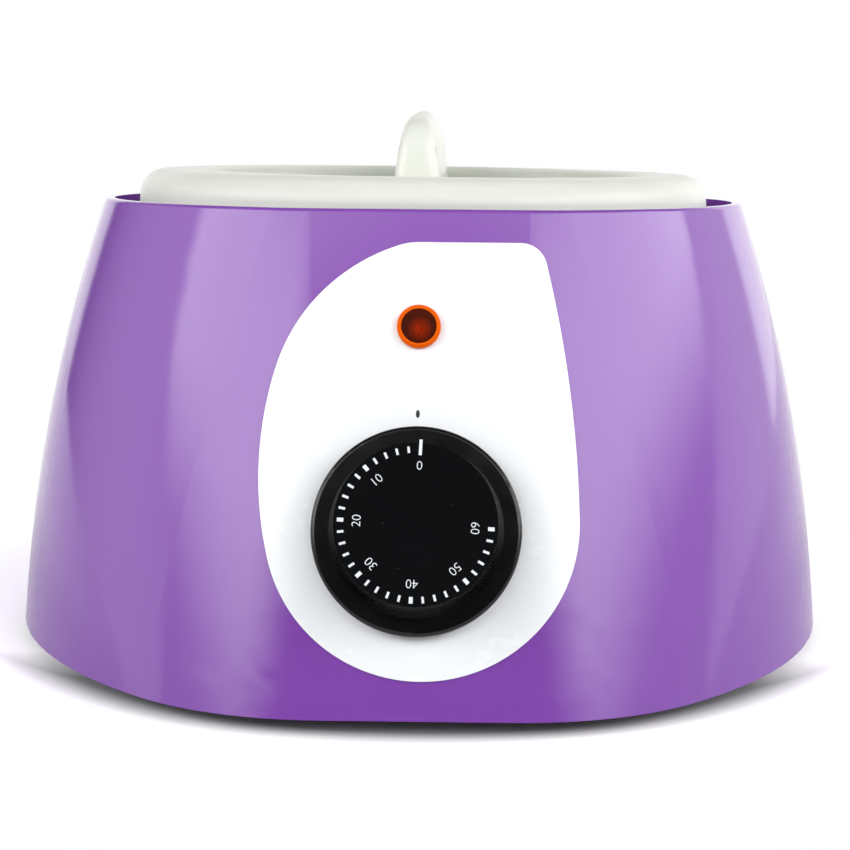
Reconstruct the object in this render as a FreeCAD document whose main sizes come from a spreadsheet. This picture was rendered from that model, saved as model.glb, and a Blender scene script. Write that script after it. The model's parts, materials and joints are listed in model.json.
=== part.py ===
import FreeCAD, Part
import Sketcher

import math
import os
from types import SimpleNamespace

# A round, tapering table-top melting tank: a moulded housing with a flat leaning
# front, a steel bowl in a heated well, a lid with a fin handle and a dial.
# Millimetres, +Z up, +Y to the back. The origin is on the floor, on the bowl's axis.

Vector = FreeCAD.Vector

DIMENSIONS = {
    # Housing, seen from above as a half circle behind and a flattened oval in front
    "foot_height": 4.0,
    "shell_height": 118.2,
    "base_radius": 115.0,
    "middle_radius": 107.1,
    "rim_radius": 90.9,
    "base_side_radius": 144.3,
    "middle_side_radius": 115.0,
    "rim_side_radius": 93.0,
    "base_flat": 23.0,
    "middle_flat": 25.0,
    "rim_flat": 27.0,
    "base_front": 124.2,
    "facet_tilt": 17.6,
    "shell_wall": 3.0,
    "lip_wall": 2.4,
    "lip_depth": 9.0,
    "lip_round": 1.0,
    "ledge_thickness": 5.0,
    "ledge_bore": 78.5,
    # Bowl and lid
    "bowl_flange_radius": 82.0,
    "bowl_mouth_radius": 74.0,
    "bowl_floor_radius": 67.0,
    "bowl_depth": 66.0,
    "bowl_wall": 1.0,
    "bowl_corner": 14.0,
    "lid_radius": 81.9,
    "lid_draft": 1.3,
    "lid_rise": 8.4,
    "lid_wall": 2.5,
    "lid_shoulder": 7.0,
    "recess_radius": 61.5,
    "recess_depth": 12.0,
    "recess_round": 4.0,
    "skirt_depth": 7.0,
    "skirt_clearance": 0.8,
    "handle_rise": 16.6,
    "handle_foot_width": 12.4,
    "handle_crown": 2.95,
    "handle_flank": 73.0,
    "handle_length": 134.0,
    "handle_lean": 5.5,
    "handle_round": 2.2,
    "handle_turn": 1.1,
    # Heated well under the bowl
    "well_gap": 0.8,
    "well_wall": 2.0,
    "well_flange_radius": 86.0,
    "well_bevel": 8.0,
    "gasket_thickness": 1.0,
    "heater_radius": 52.0,
    "heater_thickness": 4.0,
    "press_plate_radius": 50.0,
    "press_plate_thickness": 2.0,
    "stud_radius": 3.0,
    "stud_length": 14.0,
    "nut_across_flats": 10.0,
    "nut_height": 5.0,
    "wrap_thickness": 5.0,
    "wrap_low": 52.0,
    "wrap_high": 84.0,
    "cutout_radius": 8.0,
    "cutout_height": 9.0,
    "cutout_x": 26.0,
    "cutout_tab_x": 4.0,
    "cutout_ring": 2.0,
    "bulb_radius": 3.0,
    "bulb_length": 60.0,
    "bulb_x": -24.0,
    "strap_thickness": 1.0,
    "strap_width": 8.0,
    "strap_foot": 6.0,
    "capillary_radius": 1.0,
    # Base
    "plate_thickness": 2.0,
    "plate_inset": 1.5,
    "plate_clearance": 0.4,
    "foot_radius": 9.0,
    "foot_x": 60.0,
    "foot_front_y": 76.0,
    "foot_back_y": 68.0,
    "foot_recess": 0.6,
    "foot_head_room": 0.3,
    "boss_radius": 5.0,
    "boss_height": 22.0,
    "boss_web": 2.5,
    "boss_front_x": 76.0,
    "boss_front_y": 70.0,
    "boss_back_x": 84.0,
    "boss_back_y": 55.0,
    "screw_radius": 1.5,
    "screw_length": 12.0,
    "screw_head_radius": 3.0,
    "screw_head_height": 1.6,
    "well_screw_circle": 82.3,
    "well_screw_length": 5.5,
    "pilot_skin": 1.0,
    "vent_length": 46.0,
    "vent_width": 4.0,
    "vent_pitch": 12.0,
    # Front panel, placed by distances measured up the leaning front
    "label_thickness": 0.6,
    "label_centre_right": 1.2,
    "label_centre_up": 47.1,
    "label_low_radius": 37.8,
    "label_top_up": 115.6,
    "label_top_left": 0.3,
    "label_left_corner": 14.8,
    "label_left_turn": 18.4,
    "label_shoulder": 46.1,
    "label_shoulder_turn": 55.5,
    "label_top_right": 24.6,
    "label_right_corner": 6.5,
    "label_right_turn": 76.4,
    "label_window": 19.0,
    "lamp_up": 94.4,
    "lamp_radius": 5.3,
    "lamp_window": 4.3,
    "lamp_sleeve": 4.5,
    "lamp_rise": 1.8,
    "lamp_depth": 9.0,
    "lamp_sleeve_wall": 0.9,
    "lamp_bevel": 0.5,
    "lamp_step": 0.4,
    "lens_sunk": 0.3,
    "lamp_body_length": 7.2,
    "lamp_tab_thickness": 0.5,
    "lamp_tab_width": 2.8,
    "lamp_tab_length": 5.0,
    "lamp_tab_x": 2.0,
    "lamp_clip_rim": 3.0,
    "lamp_clip_thickness": 0.8,
    "hole_clearance": 0.2,
    "knob_up": 44.5,
    "knob_radius": 25.0,
    "knob_skirt": 4.6,
    "knob_grip_radius": 20.7,
    "knob_disc_radius": 18.7,
    "knob_grip_height": 13.5,
    "knob_wall": 2.2,
    "knob_hub": 6.5,
    "knob_gap": 0.5,
    "knob_round": 1.0,
    "mark_length": 2.7,
    "mark_width": 0.9,
    "mark_depth": 0.4,
    "hub_inset": 1.0,
    "shaft_radius": 3.0,
    "shaft_flat": 2.1,
    "shaft_clearance": 0.05,
    "bush_radius": 5.0,
    "thermostat_width": 34.0,
    "thermostat_depth": 22.0,
    "thermostat_plate": 1.2,
    "thermostat_plate_width": 44.0,
    "thermostat_screw_x": 14.0,
    "thermostat_screw_radius": 1.9,
    "thermostat_head_radius": 3.6,
    "thermostat_screw_tip": 2.0,
    "thermostat_room": 1.0,
    "tab_width": 6.3,
    "tab_thickness": 0.8,
    "tab_length": 8.0,
    "tab_pitch": 8.5,
    # Mains entry at the back
    "gland_up": 21.0,
    "gland_radius": 8.0,
    "gland_bore": 4.0,
    "gland_way": 4.6,
    "gland_across_flats": 22.0,
    "gland_flange": 5.0,
    "gland_dome": 14.0,
    "gland_dome_bevel": 3.0,
    "gland_thread": 13.0,
    "locknut_height": 4.0,
    "pad_radius": 14.0,
    "pad_proud": 1.0,
    "pad_wall": 4.0,
    "terminal_width": 36.0,
    "terminal_depth": 18.0,
    "terminal_height": 15.0,
    "terminal_x": -26.0,
    "terminal_y": 62.0,
    "terminal_well_radius": 2.6,
    "terminal_well_depth": 4.0,
    "earth_x": 30.0,
    "earth_y": 70.0,
    "earth_nut_flats": 5.5,
    "earth_nut_height": 2.4,
    "lead_radius": 1.1,
}

VENT_COUNT = 5
CASE_TABS = 4
TERMINAL_WAYS = 3

doc = FreeCAD.newDocument("melting_tank")
sheet = doc.addObject("Spreadsheet::Sheet", "Sizes")
for row, (alias, number) in enumerate(DIMENSIONS.items(), 1):
    sheet.set("A%d" % row, alias)
    sheet.set("B%d" % row, str(number))
    sheet.setAlias("B%d" % row, alias)
doc.recompute()


class Size:
    """A number together with the sheet expression that gives it."""

    def __init__(self, value, text):
        self.value = value
        self.text = text

    def __add__(self, other):
        other = as_size(other)
        return Size(self.value + other.value, "(%s + %s)" % (self.text, other.text))

    def __sub__(self, other):
        other = as_size(other)
        return Size(self.value - other.value, "(%s - %s)" % (self.text, other.text))

    def __mul__(self, other):
        other = as_size(other)
        return Size(self.value * other.value, "(%s * %s)" % (self.text, other.text))

    def __truediv__(self, other):
        other = as_size(other)
        return Size(self.value / other.value, "(%s / %s)" % (self.text, other.text))

    def __radd__(self, other):
        return as_size(other) + self

    def __rsub__(self, other):
        return as_size(other) - self

    def __rmul__(self, other):
        return as_size(other) * self

    def __neg__(self):
        return as_size(-1.0) * self


def as_size(item):
    if isinstance(item, Size):
        return item
    return Size(float(item), "%.6f" % item)


def cosine(angle):
    return Size(math.cos(math.radians(angle.value)), "cos(%s)" % angle.text)


def tangent(angle):
    return Size(math.tan(math.radians(angle.value)), "tan(%s)" % angle.text)


S = SimpleNamespace(**{alias: Size(float(sheet.get(alias)), "Sizes." + alias) for alias in DIMENSIONS})


def bind(item, **sizes):
    """Gives each named property of the item the sheet expression of its size."""
    for name, size in sizes.items():
        item.setExpression(name, as_size(size).text)
    return item


def at(item, x=0, y=0, z=0):
    """Places the item, with each coordinate bound to its size."""
    for axis, size in zip("xyz", (x, y, z)):
        item.setExpression("Placement.Base." + axis, as_size(size).text)
    return item


PIECES = []


def piece(item, label):
    """Names a finished sub-part; the label is also its file name."""
    item.Label = label
    PIECES.append(item)
    return item


# Drawing and solid helpers

def hold_point(sketch, curve, end, x, y):
    """Fixes one end of a curve at its two sizes from the sketch's origin."""
    for kind, size, axis in (("DistanceX", as_size(x), -2), ("DistanceY", as_size(y), -1)):
        if size.text == as_size(0).text:
            sketch.addConstraint(Sketcher.Constraint("PointOnObject", curve, end, axis))
        else:
            index = sketch.addConstraint(Sketcher.Constraint(kind, -1, 1, curve, end, size.value))
            sketch.setExpression("Constraints[%d]" % index, size.text)


def hold_radius(sketch, curve, size):
    index = sketch.addConstraint(Sketcher.Constraint("Radius", curve, size.value))
    sketch.setExpression("Constraints[%d]" % index, size.text)


def hold_turn(sketch, curve, size):
    """Fixes the angle in degrees that an arc runs through."""
    index = sketch.addConstraint(Sketcher.Constraint("Angle", curve, math.radians(size.value)))
    sketch.setExpression("Constraints[%d]" % index, size.text)


def draw_polygon(sketch, corners):
    """A closed outline whose every corner is held at its sizes."""
    corners = [(as_size(x), as_size(y)) for x, y in corners]
    points = [Vector(x.value, y.value, 0) for x, y in corners]
    count = len(points)
    for index in range(count):
        sketch.addGeometry(Part.LineSegment(points[index], points[(index + 1) % count]), False)
    join_ends(sketch, "Coincident", count)
    for index, (x, y) in enumerate(corners):
        hold_point(sketch, index, 1, x, y)
    return sketch


def join_ends(sketch, kind, count):
    """Joins the end of each curve to the start of the next, and the last to the first."""
    for index in range(count):
        sketch.addConstraint(Sketcher.Constraint(kind, index, 2, (index + 1) % count, 1))


def direction(degrees):
    return Vector(math.cos(math.radians(degrees)), math.sin(math.radians(degrees)), 0)


def add_arc(sketch, centre, radius, start, end):
    """Adds an arc that runs counter-clockwise between the two angles in degrees."""
    circle = Part.Circle(centre, Vector(0, 0, 1), radius)
    sketch.addGeometry(Part.ArcOfCircle(circle, math.radians(start), math.radians(end)), False)


def extruded(name, sketch, length, both_ways=False):
    """A solid raised from a sketch along its normal."""
    solid = doc.addObject("Part::Extrusion", name)
    solid.Base = sketch
    solid.DirMode = "Normal"
    solid.Solid = True
    solid.Symmetric = both_ways
    return bind(solid, LengthFwd=length)


def body_sketch(body, name, role):
    sketch = body.newObject("Sketcher::SketchObject", name)
    face = next(item for item in body.Origin.OriginFeatures if item.Role == role)
    sketch.AttachmentSupport = [(face, "")]
    sketch.MapMode = "FlatFace"
    return sketch


def turned(label, outline):
    """A body made by turning a closed outline of (radius, height) corners round Z."""
    body = doc.addObject("PartDesign::Body", label)
    body.Label = label
    sketch = draw_polygon(body_sketch(body, label + "_outline", "XZ_Plane"), outline)
    turn = body.newObject("PartDesign::Revolution", label + "_turn")
    turn.Profile = sketch
    turn.ReferenceAxis = (sketch, ["V_Axis"])
    turn.Angle = 360
    doc.recompute()
    return body


def ring_edges(shape, radius, height):
    """The names of the circular edges of that radius whose centre is at that height."""
    names = []
    for index, edge in enumerate(shape.Edges, 1):
        curve = edge.Curve
        if not isinstance(curve, Part.Circle):
            continue
        if abs(curve.Radius - radius.value) < 1e-3 and abs(curve.Center.z - height.value) < 1e-3:
            names.append("Edge%d" % index)
    return names


def round_rings(body, radius, *rings):
    """Rounds the circular edges of a body, each given as (radius, height)."""
    names = [name for ring in rings for name in ring_edges(body.Shape, *ring)]
    return round_edges(body, radius, names)


def round_edges(body, radius, names):
    before = body.Tip
    fillet = body.newObject("PartDesign::Fillet", body.Label + "_round")
    fillet.Base = (before, names)
    bind(fillet, Radius=radius)
    doc.recompute()
    return body


def cylinder(name, radius, length, x=0, y=0, z=0):
    item = doc.addObject("Part::Cylinder", name)
    return at(bind(item, Radius=radius, Height=length), x, y, z)


def block(name, length, width, height, x=0, y=0, z=0):
    """A box whose x and y are its middle and whose z is its underside."""
    item = doc.addObject("Part::Box", name)
    bind(item, Length=length, Width=width, Height=height)
    return at(item, x - as_size(length) / 2, y - as_size(width) / 2, z)


def prism(name, flats, length, x=0, y=0, z=0):
    item = doc.addObject("Part::Prism", name)
    item.Polygon = 6
    bind(item, Circumradius=flats / math.sqrt(3), Height=length)
    return at(item, x, y, z)


def cut(name, base, *tools):
    result = doc.addObject("Part::Cut", name)
    result.Base = base
    result.Tool = tools[0] if len(tools) == 1 else fused(name + "_tools", *tools)
    result.Refine = False
    return result


def fused(name, *items):
    result = doc.addObject("Part::MultiFuse", name)
    result.Shapes = list(items)
    result.Refine = False
    return result


def shared(name, *items):
    result = doc.addObject("Part::MultiCommon", name)
    result.Shapes = list(items)
    return result


def group(name, items):
    result = doc.addObject("Part::Compound", name)
    result.Links = items
    return result


def facing_back(item):
    """Turns an upright item so that its axis points along +Y."""
    item.Placement.Rotation = FreeCAD.Rotation(Vector(1, 0, 0), -90)
    return item


# Levels and reaches that several pieces share

RIM = S.foot_height + S.shell_height
LEDGE = RIM - S.lip_depth
LEDGE_UNDER = LEDGE - S.ledge_thickness
BOWL_UNDER = LEDGE - S.bowl_depth
WELL_FLANGE_TOP = LEDGE_UNDER - S.gasket_thickness
WELL_FLOOR = BOWL_UNDER - S.well_gap
WELL_UNDER = WELL_FLOOR - S.well_wall
HEATER_UNDER = WELL_UNDER - S.heater_thickness
PRESS_UNDER = HEATER_UNDER - S.press_plate_thickness
PLATE_UNDER = S.foot_height + S.plate_inset
PLATE_TOP = PLATE_UNDER + S.plate_thickness
KNOB_BACK = S.label_thickness + S.knob_gap
SKIRT_TOP = KNOB_BACK + S.knob_skirt
DISC_TOP = SKIRT_TOP + S.knob_grip_height
GLAND_HEIGHT = S.foot_height + S.gland_up
GLAND_FACE = S.base_radius + S.pad_proud


def facet_place(up, out=0.0, across=0.0):
    """The placement whose Z points out of the leaning front, that far up along it."""
    tilt = math.radians(S.facet_tilt.value)
    height = S.foot_height.value + up * math.cos(tilt) + out * math.sin(tilt)
    reach = S.base_front.value - up * math.sin(tilt) + out * math.cos(tilt)
    turn = FreeCAD.Rotation(Vector(1, 0, 0), 90 - S.facet_tilt.value)
    return FreeCAD.Placement(Vector(across, -reach, height), turn)


# Housing

def between(first, middle, last, share):
    """The value at that share of the height on the curve through the three sections."""
    left = (1 - share) * (1 - 2 * share)
    centre = 4 * share * (1 - share)
    right = share * (2 * share - 1)
    return first * left + middle * centre + last * right


def plan_sketch(name, share, height, offset):
    """One closed plan section of the housing, grown outwards by the offset."""
    share = as_size(share)
    radius = between(S.base_radius, S.middle_radius, S.rim_radius, share) + offset
    side = between(S.base_side_radius, S.middle_side_radius, S.rim_side_radius, share) + offset
    flat = between(S.base_flat, S.middle_flat, S.rim_flat, share)
    lean = S.shell_height * share * tangent(S.facet_tilt)
    front = S.base_front - lean + offset / cosine(S.facet_tilt)

    # The corner arc touches both the side arc and the straight front
    radius_mm, side_mm, flat_mm, front_mm = (size.value for size in (radius, side, flat, front))
    centre = radius_mm - side_mm
    reach = flat_mm - centre
    corner = (side_mm ** 2 - reach ** 2 - front_mm ** 2) / (2 * (side_mm - front_mm))
    touch = math.atan2(corner - front_mm, reach)
    quarter = math.pi / 2

    def arc(x, y, size, start, end):
        circle = Part.Circle(Vector(x, y, 0), Vector(0, 0, 1), size)
        sketch.addGeometry(Part.ArcOfCircle(circle, start, end), False)

    sketch = doc.addObject("Sketcher::SketchObject", name)
    arc(0, 0, radius_mm, 0, math.pi)
    arc(centre, 0, side_mm, touch, 0)
    arc(flat_mm, corner - front_mm, corner, -quarter, touch)
    sketch.addGeometry(Part.LineSegment(Vector(-flat_mm, -front_mm, 0), Vector(flat_mm, -front_mm, 0)), False)
    arc(-flat_mm, corner - front_mm, corner, math.pi - touch, 3 * quarter)
    arc(-centre, 0, side_mm, math.pi, math.pi - touch)
    for first, start, second, end in ((0, 1, 1, 2), (1, 1, 2, 2), (2, 1, 3, 2), (3, 1, 4, 2), (4, 1, 5, 2), (5, 1, 0, 2)):
        sketch.addConstraint(Sketcher.Constraint("Tangent", first, start, second, end))
    sketch.addConstraint(Sketcher.Constraint("Coincident", 0, 3, -1, 1))
    sketch.addConstraint(Sketcher.Constraint("PointOnObject", 0, 1, -1))
    sketch.addConstraint(Sketcher.Constraint("PointOnObject", 0, 2, -1))
    hold_radius(sketch, 0, radius)
    hold_radius(sketch, 1, side)
    sketch.addConstraint(Sketcher.Constraint("Equal", 1, 5))
    sketch.addConstraint(Sketcher.Constraint("Symmetric", 3, 1, 3, 2, -2))
    hold_point(sketch, 3, 2, flat, -front)
    return at(sketch, z=height)


def housing_loft(name, low, high, offset):
    """The housing's form between two shares of its height, grown by the offset."""
    sections = []
    for index in range(3):
        share = low + (high - low) * (index / 2)
        height = S.foot_height + S.shell_height * share
        sections.append(plan_sketch("%s_section_%d" % (name, index + 1), share, height, offset))
    loft = doc.addObject("Part::Loft", name)
    loft.Sections = sections
    loft.Solid = True
    return loft


def corner_bosses(name, radius, length, low):
    """Upright pillars at the four screw places of the base."""
    places = []
    for side in (-1, 1):
        places.append((side * S.boss_front_x, -S.boss_front_y))
        places.append((side * S.boss_back_x, S.boss_back_y))
    return [cylinder("%s_%d" % (name, index), radius, length, x, y, low)
            for index, (x, y) in enumerate(places, 1)], places


def outer_shell():
    outer = rounded_top("rounded_form", housing_loft("housing_form", as_size(0), as_size(1), as_size(0)))
    cavity_share = (S.shell_height - S.lip_depth - S.ledge_thickness) / S.shell_height
    cavity = housing_loft("housing_cavity", as_size(0), cavity_share, -S.shell_wall)
    mouth = extruded("mouth", plan_sketch("mouth_section", 1, LEDGE, -S.lip_wall), S.lip_depth)
    bore = cylinder("ledge_opening", S.ledge_bore, S.shell_height, z=S.foot_height)
    hollow = cut("hollow_housing", outer, cavity, mouth, bore)

    # Screw pillars for the base, each joined to the wall by a web
    pillars, places = corner_bosses("base_boss", S.boss_radius, S.boss_height, PLATE_TOP)
    webs = []
    for index, (x, y) in enumerate(places, 1):
        side = 1 if x.value > 0 else -1
        length = S.base_radius - S.boss_back_x
        webs.append(block("boss_web_%d" % index, length, S.boss_web, S.boss_height,
                          x + side * length / 2, y, PLATE_TOP))
    inside = shared("bosses_inside", fused("bosses_and_webs", *pillars, *webs), outer)

    # A flat pad for the cord gland, thick enough for its nut
    pad_length = S.pad_proud + S.shell_wall + S.pad_wall
    pad = facing_back(cylinder("gland_pad", S.pad_radius, pad_length,
                               y=GLAND_FACE - pad_length, z=GLAND_HEIGHT))
    solid = fused("housing_with_bosses", hollow, inside, pad)

    holes = [facing_back(cylinder("gland_hole", S.gland_radius + S.hole_clearance, 2 * pad_length,
                                  y=GLAND_FACE - 1.5 * pad_length, z=GLAND_HEIGHT))]
    pilots, _ = corner_bosses("base_pilot", S.screw_radius, S.screw_length, PLATE_TOP)
    holes += pilots
    pilot_depth = S.ledge_thickness - S.pilot_skin
    holes += [cylinder("well_pilot_%d" % index, S.screw_radius, pilot_depth, x, y, LEDGE_UNDER)
              for index, (x, y) in enumerate(well_screw_places(), 1)]
    through = 3 * S.shell_wall
    holes += [
        on_facet(cylinder("lamp_hole", S.lamp_sleeve + S.hole_clearance, through, z=-through / 2), S.lamp_up),
        on_facet(cylinder("bush_hole", S.bush_radius + S.hole_clearance, through, z=-through / 2), S.knob_up),
    ]
    for side in (-1, 1):
        hole = cylinder("thermostat_hole_%d" % (side + 2), S.thermostat_screw_radius + S.hole_clearance,
                        through, side * S.thermostat_screw_x, 0, -through / 2)
        holes.append(on_facet(hole, S.knob_up))
    return piece(cut("drilled_housing", solid, *holes), "outer_shell")


def rounded_top(name, base):
    """The base with the edges of its top face rounded as the lip is."""
    doc.recompute()
    lip = [index for index, edge in enumerate(base.Shape.Edges, 1)
           if edge.BoundBox.ZMin > RIM.value - 0.01]
    rounded = doc.addObject("Part::Fillet", name)
    rounded.Base = base
    rounded.Edges = [(index, S.lip_round.value, S.lip_round.value) for index in lip]
    return rounded


def on_facet(item, up):
    """Stands an item, drawn about its own Z, on the leaning front."""
    item.Label = item.Name + "_on_front"
    carrier = doc.addObject("Part::Compound", item.Name + "_carrier")
    carrier.Links = [item]
    carrier.Placement = facet_place(up.value)
    return carrier


def well_screw_places():
    """Four places on the well's flange, between the axes."""
    half = S.well_screw_circle * math.sqrt(0.5)
    return [(x * half, y * half) for x in (-1, 1) for y in (-1, 1)]


# Base

def base_plate():
    share = (PLATE_TOP - S.foot_height) / S.shell_height
    outline = plan_sketch("base_plate_outline", share, PLATE_UNDER, -(S.shell_wall + S.plate_clearance))
    sheet_metal = extruded("base_sheet", outline, S.plate_thickness)
    deep = 3 * S.plate_thickness
    low = PLATE_UNDER - S.plate_thickness
    holes, _ = corner_bosses("base_screw_hole", S.screw_radius + S.hole_clearance, deep, low)
    for index, (x, y) in enumerate(foot_places(), 1):
        holes.append(cylinder("foot_screw_hole_%d" % index, S.screw_radius, deep, x, y, low))
    for index in range(VENT_COUNT):
        holes.append(block("vent_%d" % (index + 1), S.vent_length, S.vent_width, deep,
                           0, (index - (VENT_COUNT - 1) / 2) * S.vent_pitch, low))
    holes.append(cylinder("earth_hole", S.screw_radius, deep, S.earth_x, S.earth_y, low))
    return piece(cut("drilled_base", sheet_metal, *holes), "base_plate")


def foot_places():
    places = []
    for side in (-1, 1):
        places.append((side * S.foot_x, -S.foot_front_y))
        places.append((side * S.foot_x, S.foot_back_y))
    return places


def screw(name, x, y, head_under, shank_length, radius=None, head_radius=None):
    """A screw that points up, its head under the given height."""
    radius = radius or S.screw_radius
    head_radius = head_radius or S.screw_head_radius
    head = cylinder(name + "_head", head_radius, S.screw_head_height, x, y, head_under - S.screw_head_height)
    shank = cylinder(name + "_shank", radius, shank_length, x, y, head_under)
    return fused(name, head, shank)


def feet_and_screws():
    feet = []
    foot_screws = []
    counter = S.screw_head_height + S.foot_recess
    for index, (x, y) in enumerate(foot_places(), 1):
        pad = cylinder("foot_pad_%d" % index, S.foot_radius, PLATE_UNDER, x, y, 0)
        pocket = cylinder("foot_pocket_%d" % index, S.screw_head_radius + S.foot_head_room, counter, x, y, 0)
        hole = cylinder("foot_hole_%d" % index, S.screw_radius, PLATE_UNDER, x, y, 0)
        feet.append(cut("foot_%d" % index, pad, pocket, hole))
        foot_screws.append(screw("foot_screw_%d" % index, x, y, counter,
                                 PLATE_TOP + S.plate_thickness - counter))
    piece(group("feet_group", feet), "rubber_feet")
    piece(group("foot_screw_group", foot_screws), "foot_screws")
    _, places = corner_bosses("base_screw_place", S.screw_radius, S.screw_length, PLATE_UNDER)
    base_screws = [screw("base_screw_%d" % index, x, y, PLATE_UNDER, S.screw_length)
                   for index, (x, y) in enumerate(places, 1)]
    piece(group("base_screw_group", base_screws), "base_screws")


# Bowl, lid and well

def melting_bowl():
    wall = S.bowl_wall
    body = turned("melting_bowl", [
        (0, BOWL_UNDER),
        (S.bowl_floor_radius + wall, BOWL_UNDER),
        (S.bowl_mouth_radius + wall, LEDGE),
        (S.bowl_flange_radius, LEDGE),
        (S.bowl_flange_radius, LEDGE + wall),
        (S.bowl_mouth_radius, LEDGE + wall),
        (S.bowl_floor_radius, BOWL_UNDER + wall),
        (0, BOWL_UNDER + wall),
    ])
    round_rings(body, S.bowl_corner - wall, (S.bowl_floor_radius, BOWL_UNDER + wall))
    round_rings(body, S.bowl_corner, (S.bowl_floor_radius + wall, BOWL_UNDER))
    return piece(body, "melting_bowl")


def lid():
    """A turned lid: a raised ring round a sunk middle, its outer wall leaning in a little."""
    crest = RIM + S.lid_rise
    floor = crest - S.recess_depth
    wall = S.lid_wall
    seat = LEDGE + S.bowl_wall
    skirt = S.bowl_mouth_radius - S.skirt_clearance
    crown = S.lid_radius - S.lid_draft
    body = turned("lid", [
        (0, floor - wall),
        (S.recess_radius + wall, floor - wall),
        (S.recess_radius + wall, crest - wall),
        (crown - 2 * wall, crest - wall),
        (crown - wall, crest - 2 * wall),
        (S.lid_radius - wall, seat),
        (S.lid_radius, seat),
        (crown, crest),
        (S.recess_radius, crest),
        (S.recess_radius, floor),
        (0, floor),
    ])
    round_rings(body, S.lid_shoulder, (crown, crest))
    round_rings(body, S.recess_round, (S.recess_radius, crest))
    piece(body, "lid")
    lid_handle(body, crest, floor)

    # A ring pressed in below the crest keeps the lid centred in the bowl's mouth
    ring = turned("lid_skirt", [
        (skirt - wall, seat - S.skirt_depth),
        (skirt, seat - S.skirt_depth),
        (skirt, crest - wall),
        (skirt - wall, crest - wall),
    ])
    piece(ring, "lid_skirt")


def lid_handle(lid_body, crest, floor):
    """A fin across the lid: rounded flanks that run into a narrow crown, and leaning ends."""
    foot = S.handle_foot_width / 2
    top = crest + S.handle_rise
    crown = S.handle_crown
    flank = S.handle_flank
    crown_height = top - crown

    # Each flank's arc starts at the foot and touches the crown's arc
    crown_centre = Vector(0, crown_height.value, 0)
    foot_right = Vector(foot.value, floor.value, 0)
    chord = crown_centre - foot_right
    inner = flank.value - crown.value
    along = (flank.value ** 2 - inner ** 2 + chord.Length ** 2) / (2 * chord.Length)
    aside = math.sqrt(flank.value ** 2 - along ** 2)
    chord.normalize()
    flank_centre = foot_right + chord * along + Vector(-chord.y, chord.x, 0) * aside
    start = math.degrees(math.atan2(foot_right.y - flank_centre.y, foot_right.x - flank_centre.x))
    touch = math.degrees(math.atan2(crown_centre.y - flank_centre.y, crown_centre.x - flank_centre.x))

    end_view = doc.addObject("Sketcher::SketchObject", "handle_end_view")
    foot_left = Vector(-foot.value, floor.value, 0)
    end_view.addGeometry(Part.LineSegment(foot_left, foot_right), False)
    add_arc(end_view, flank_centre, flank.value, start, touch)
    add_arc(end_view, crown_centre, crown.value, touch, 180 - touch)
    add_arc(end_view, Vector(-flank_centre.x, flank_centre.y, 0), flank.value, 180 - touch, 180 - start)
    for first, kind in enumerate(("Coincident", "Tangent", "Tangent", "Coincident")):
        end_view.addConstraint(Sketcher.Constraint(kind, first, 2, (first + 1) % 4, 1))
    hold_point(end_view, 0, 1, -foot, floor)
    hold_point(end_view, 0, 2, foot, floor)
    hold_radius(end_view, 1, flank)
    hold_radius(end_view, 2, crown)
    hold_radius(end_view, 3, flank)
    hold_point(end_view, 2, 3, 0, crown_height)
    end_view.Placement.Rotation = FreeCAD.Rotation(Vector(1, 0, 0), 90)

    side_view = doc.addObject("Sketcher::SketchObject", "handle_side_view")
    low = S.handle_length / 2
    high = low - S.handle_lean
    above = top + S.handle_crown
    draw_polygon(side_view, [(-low, floor), (low, floor), (high, above), (-high, above)])
    side_view.Placement.Rotation = FreeCAD.Rotation(Vector(1, 1, 1), 120)

    fin = shared("handle_fin", extruded("handle_lengthways", end_view, S.handle_length * 2, True),
                 extruded("handle_crossways", side_view, S.handle_foot_width * 2, True))
    doc.recompute()
    ends = [index for index, edge in enumerate(fin.Shape.Edges, 1)
            if edge.BoundBox.ZMax > floor.value + 1 and edge.BoundBox.YLength < S.handle_length.value / 2]
    rounded = doc.addObject("Part::Fillet", "handle_rounded")
    rounded.Base = fin
    rounded.Edges = [(index, S.handle_round.value, S.handle_round.value) for index in ends]
    turned_fin = doc.addObject("Part::Compound", "handle_turned")
    turned_fin.Links = [rounded]
    turned_fin.Placement.Rotation = FreeCAD.Rotation(Vector(0, 0, 1), -S.handle_turn.value)

    # The fin stands on the recess floor and on the ring, and keeps out of the hollow below
    room = turned("lid_hollow", [
        (S.recess_radius + S.lid_wall / 2, floor - S.lid_wall),
        (S.lid_radius, floor - S.lid_wall),
        (S.lid_radius, crest - S.lid_wall / 2),
        (S.recess_radius + S.lid_wall / 2, crest - S.lid_wall / 2),
    ])
    return piece(cut("handle_whole", turned_fin, lid_body, room), "lid_handle")


def well_radius_at(height):
    """The inside radius of the well, which follows the bowl's taper."""
    share = (height - BOWL_UNDER) / S.bowl_depth
    spread = S.bowl_mouth_radius - S.bowl_floor_radius
    return S.bowl_floor_radius + S.bowl_wall + S.well_gap + spread * share


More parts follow.
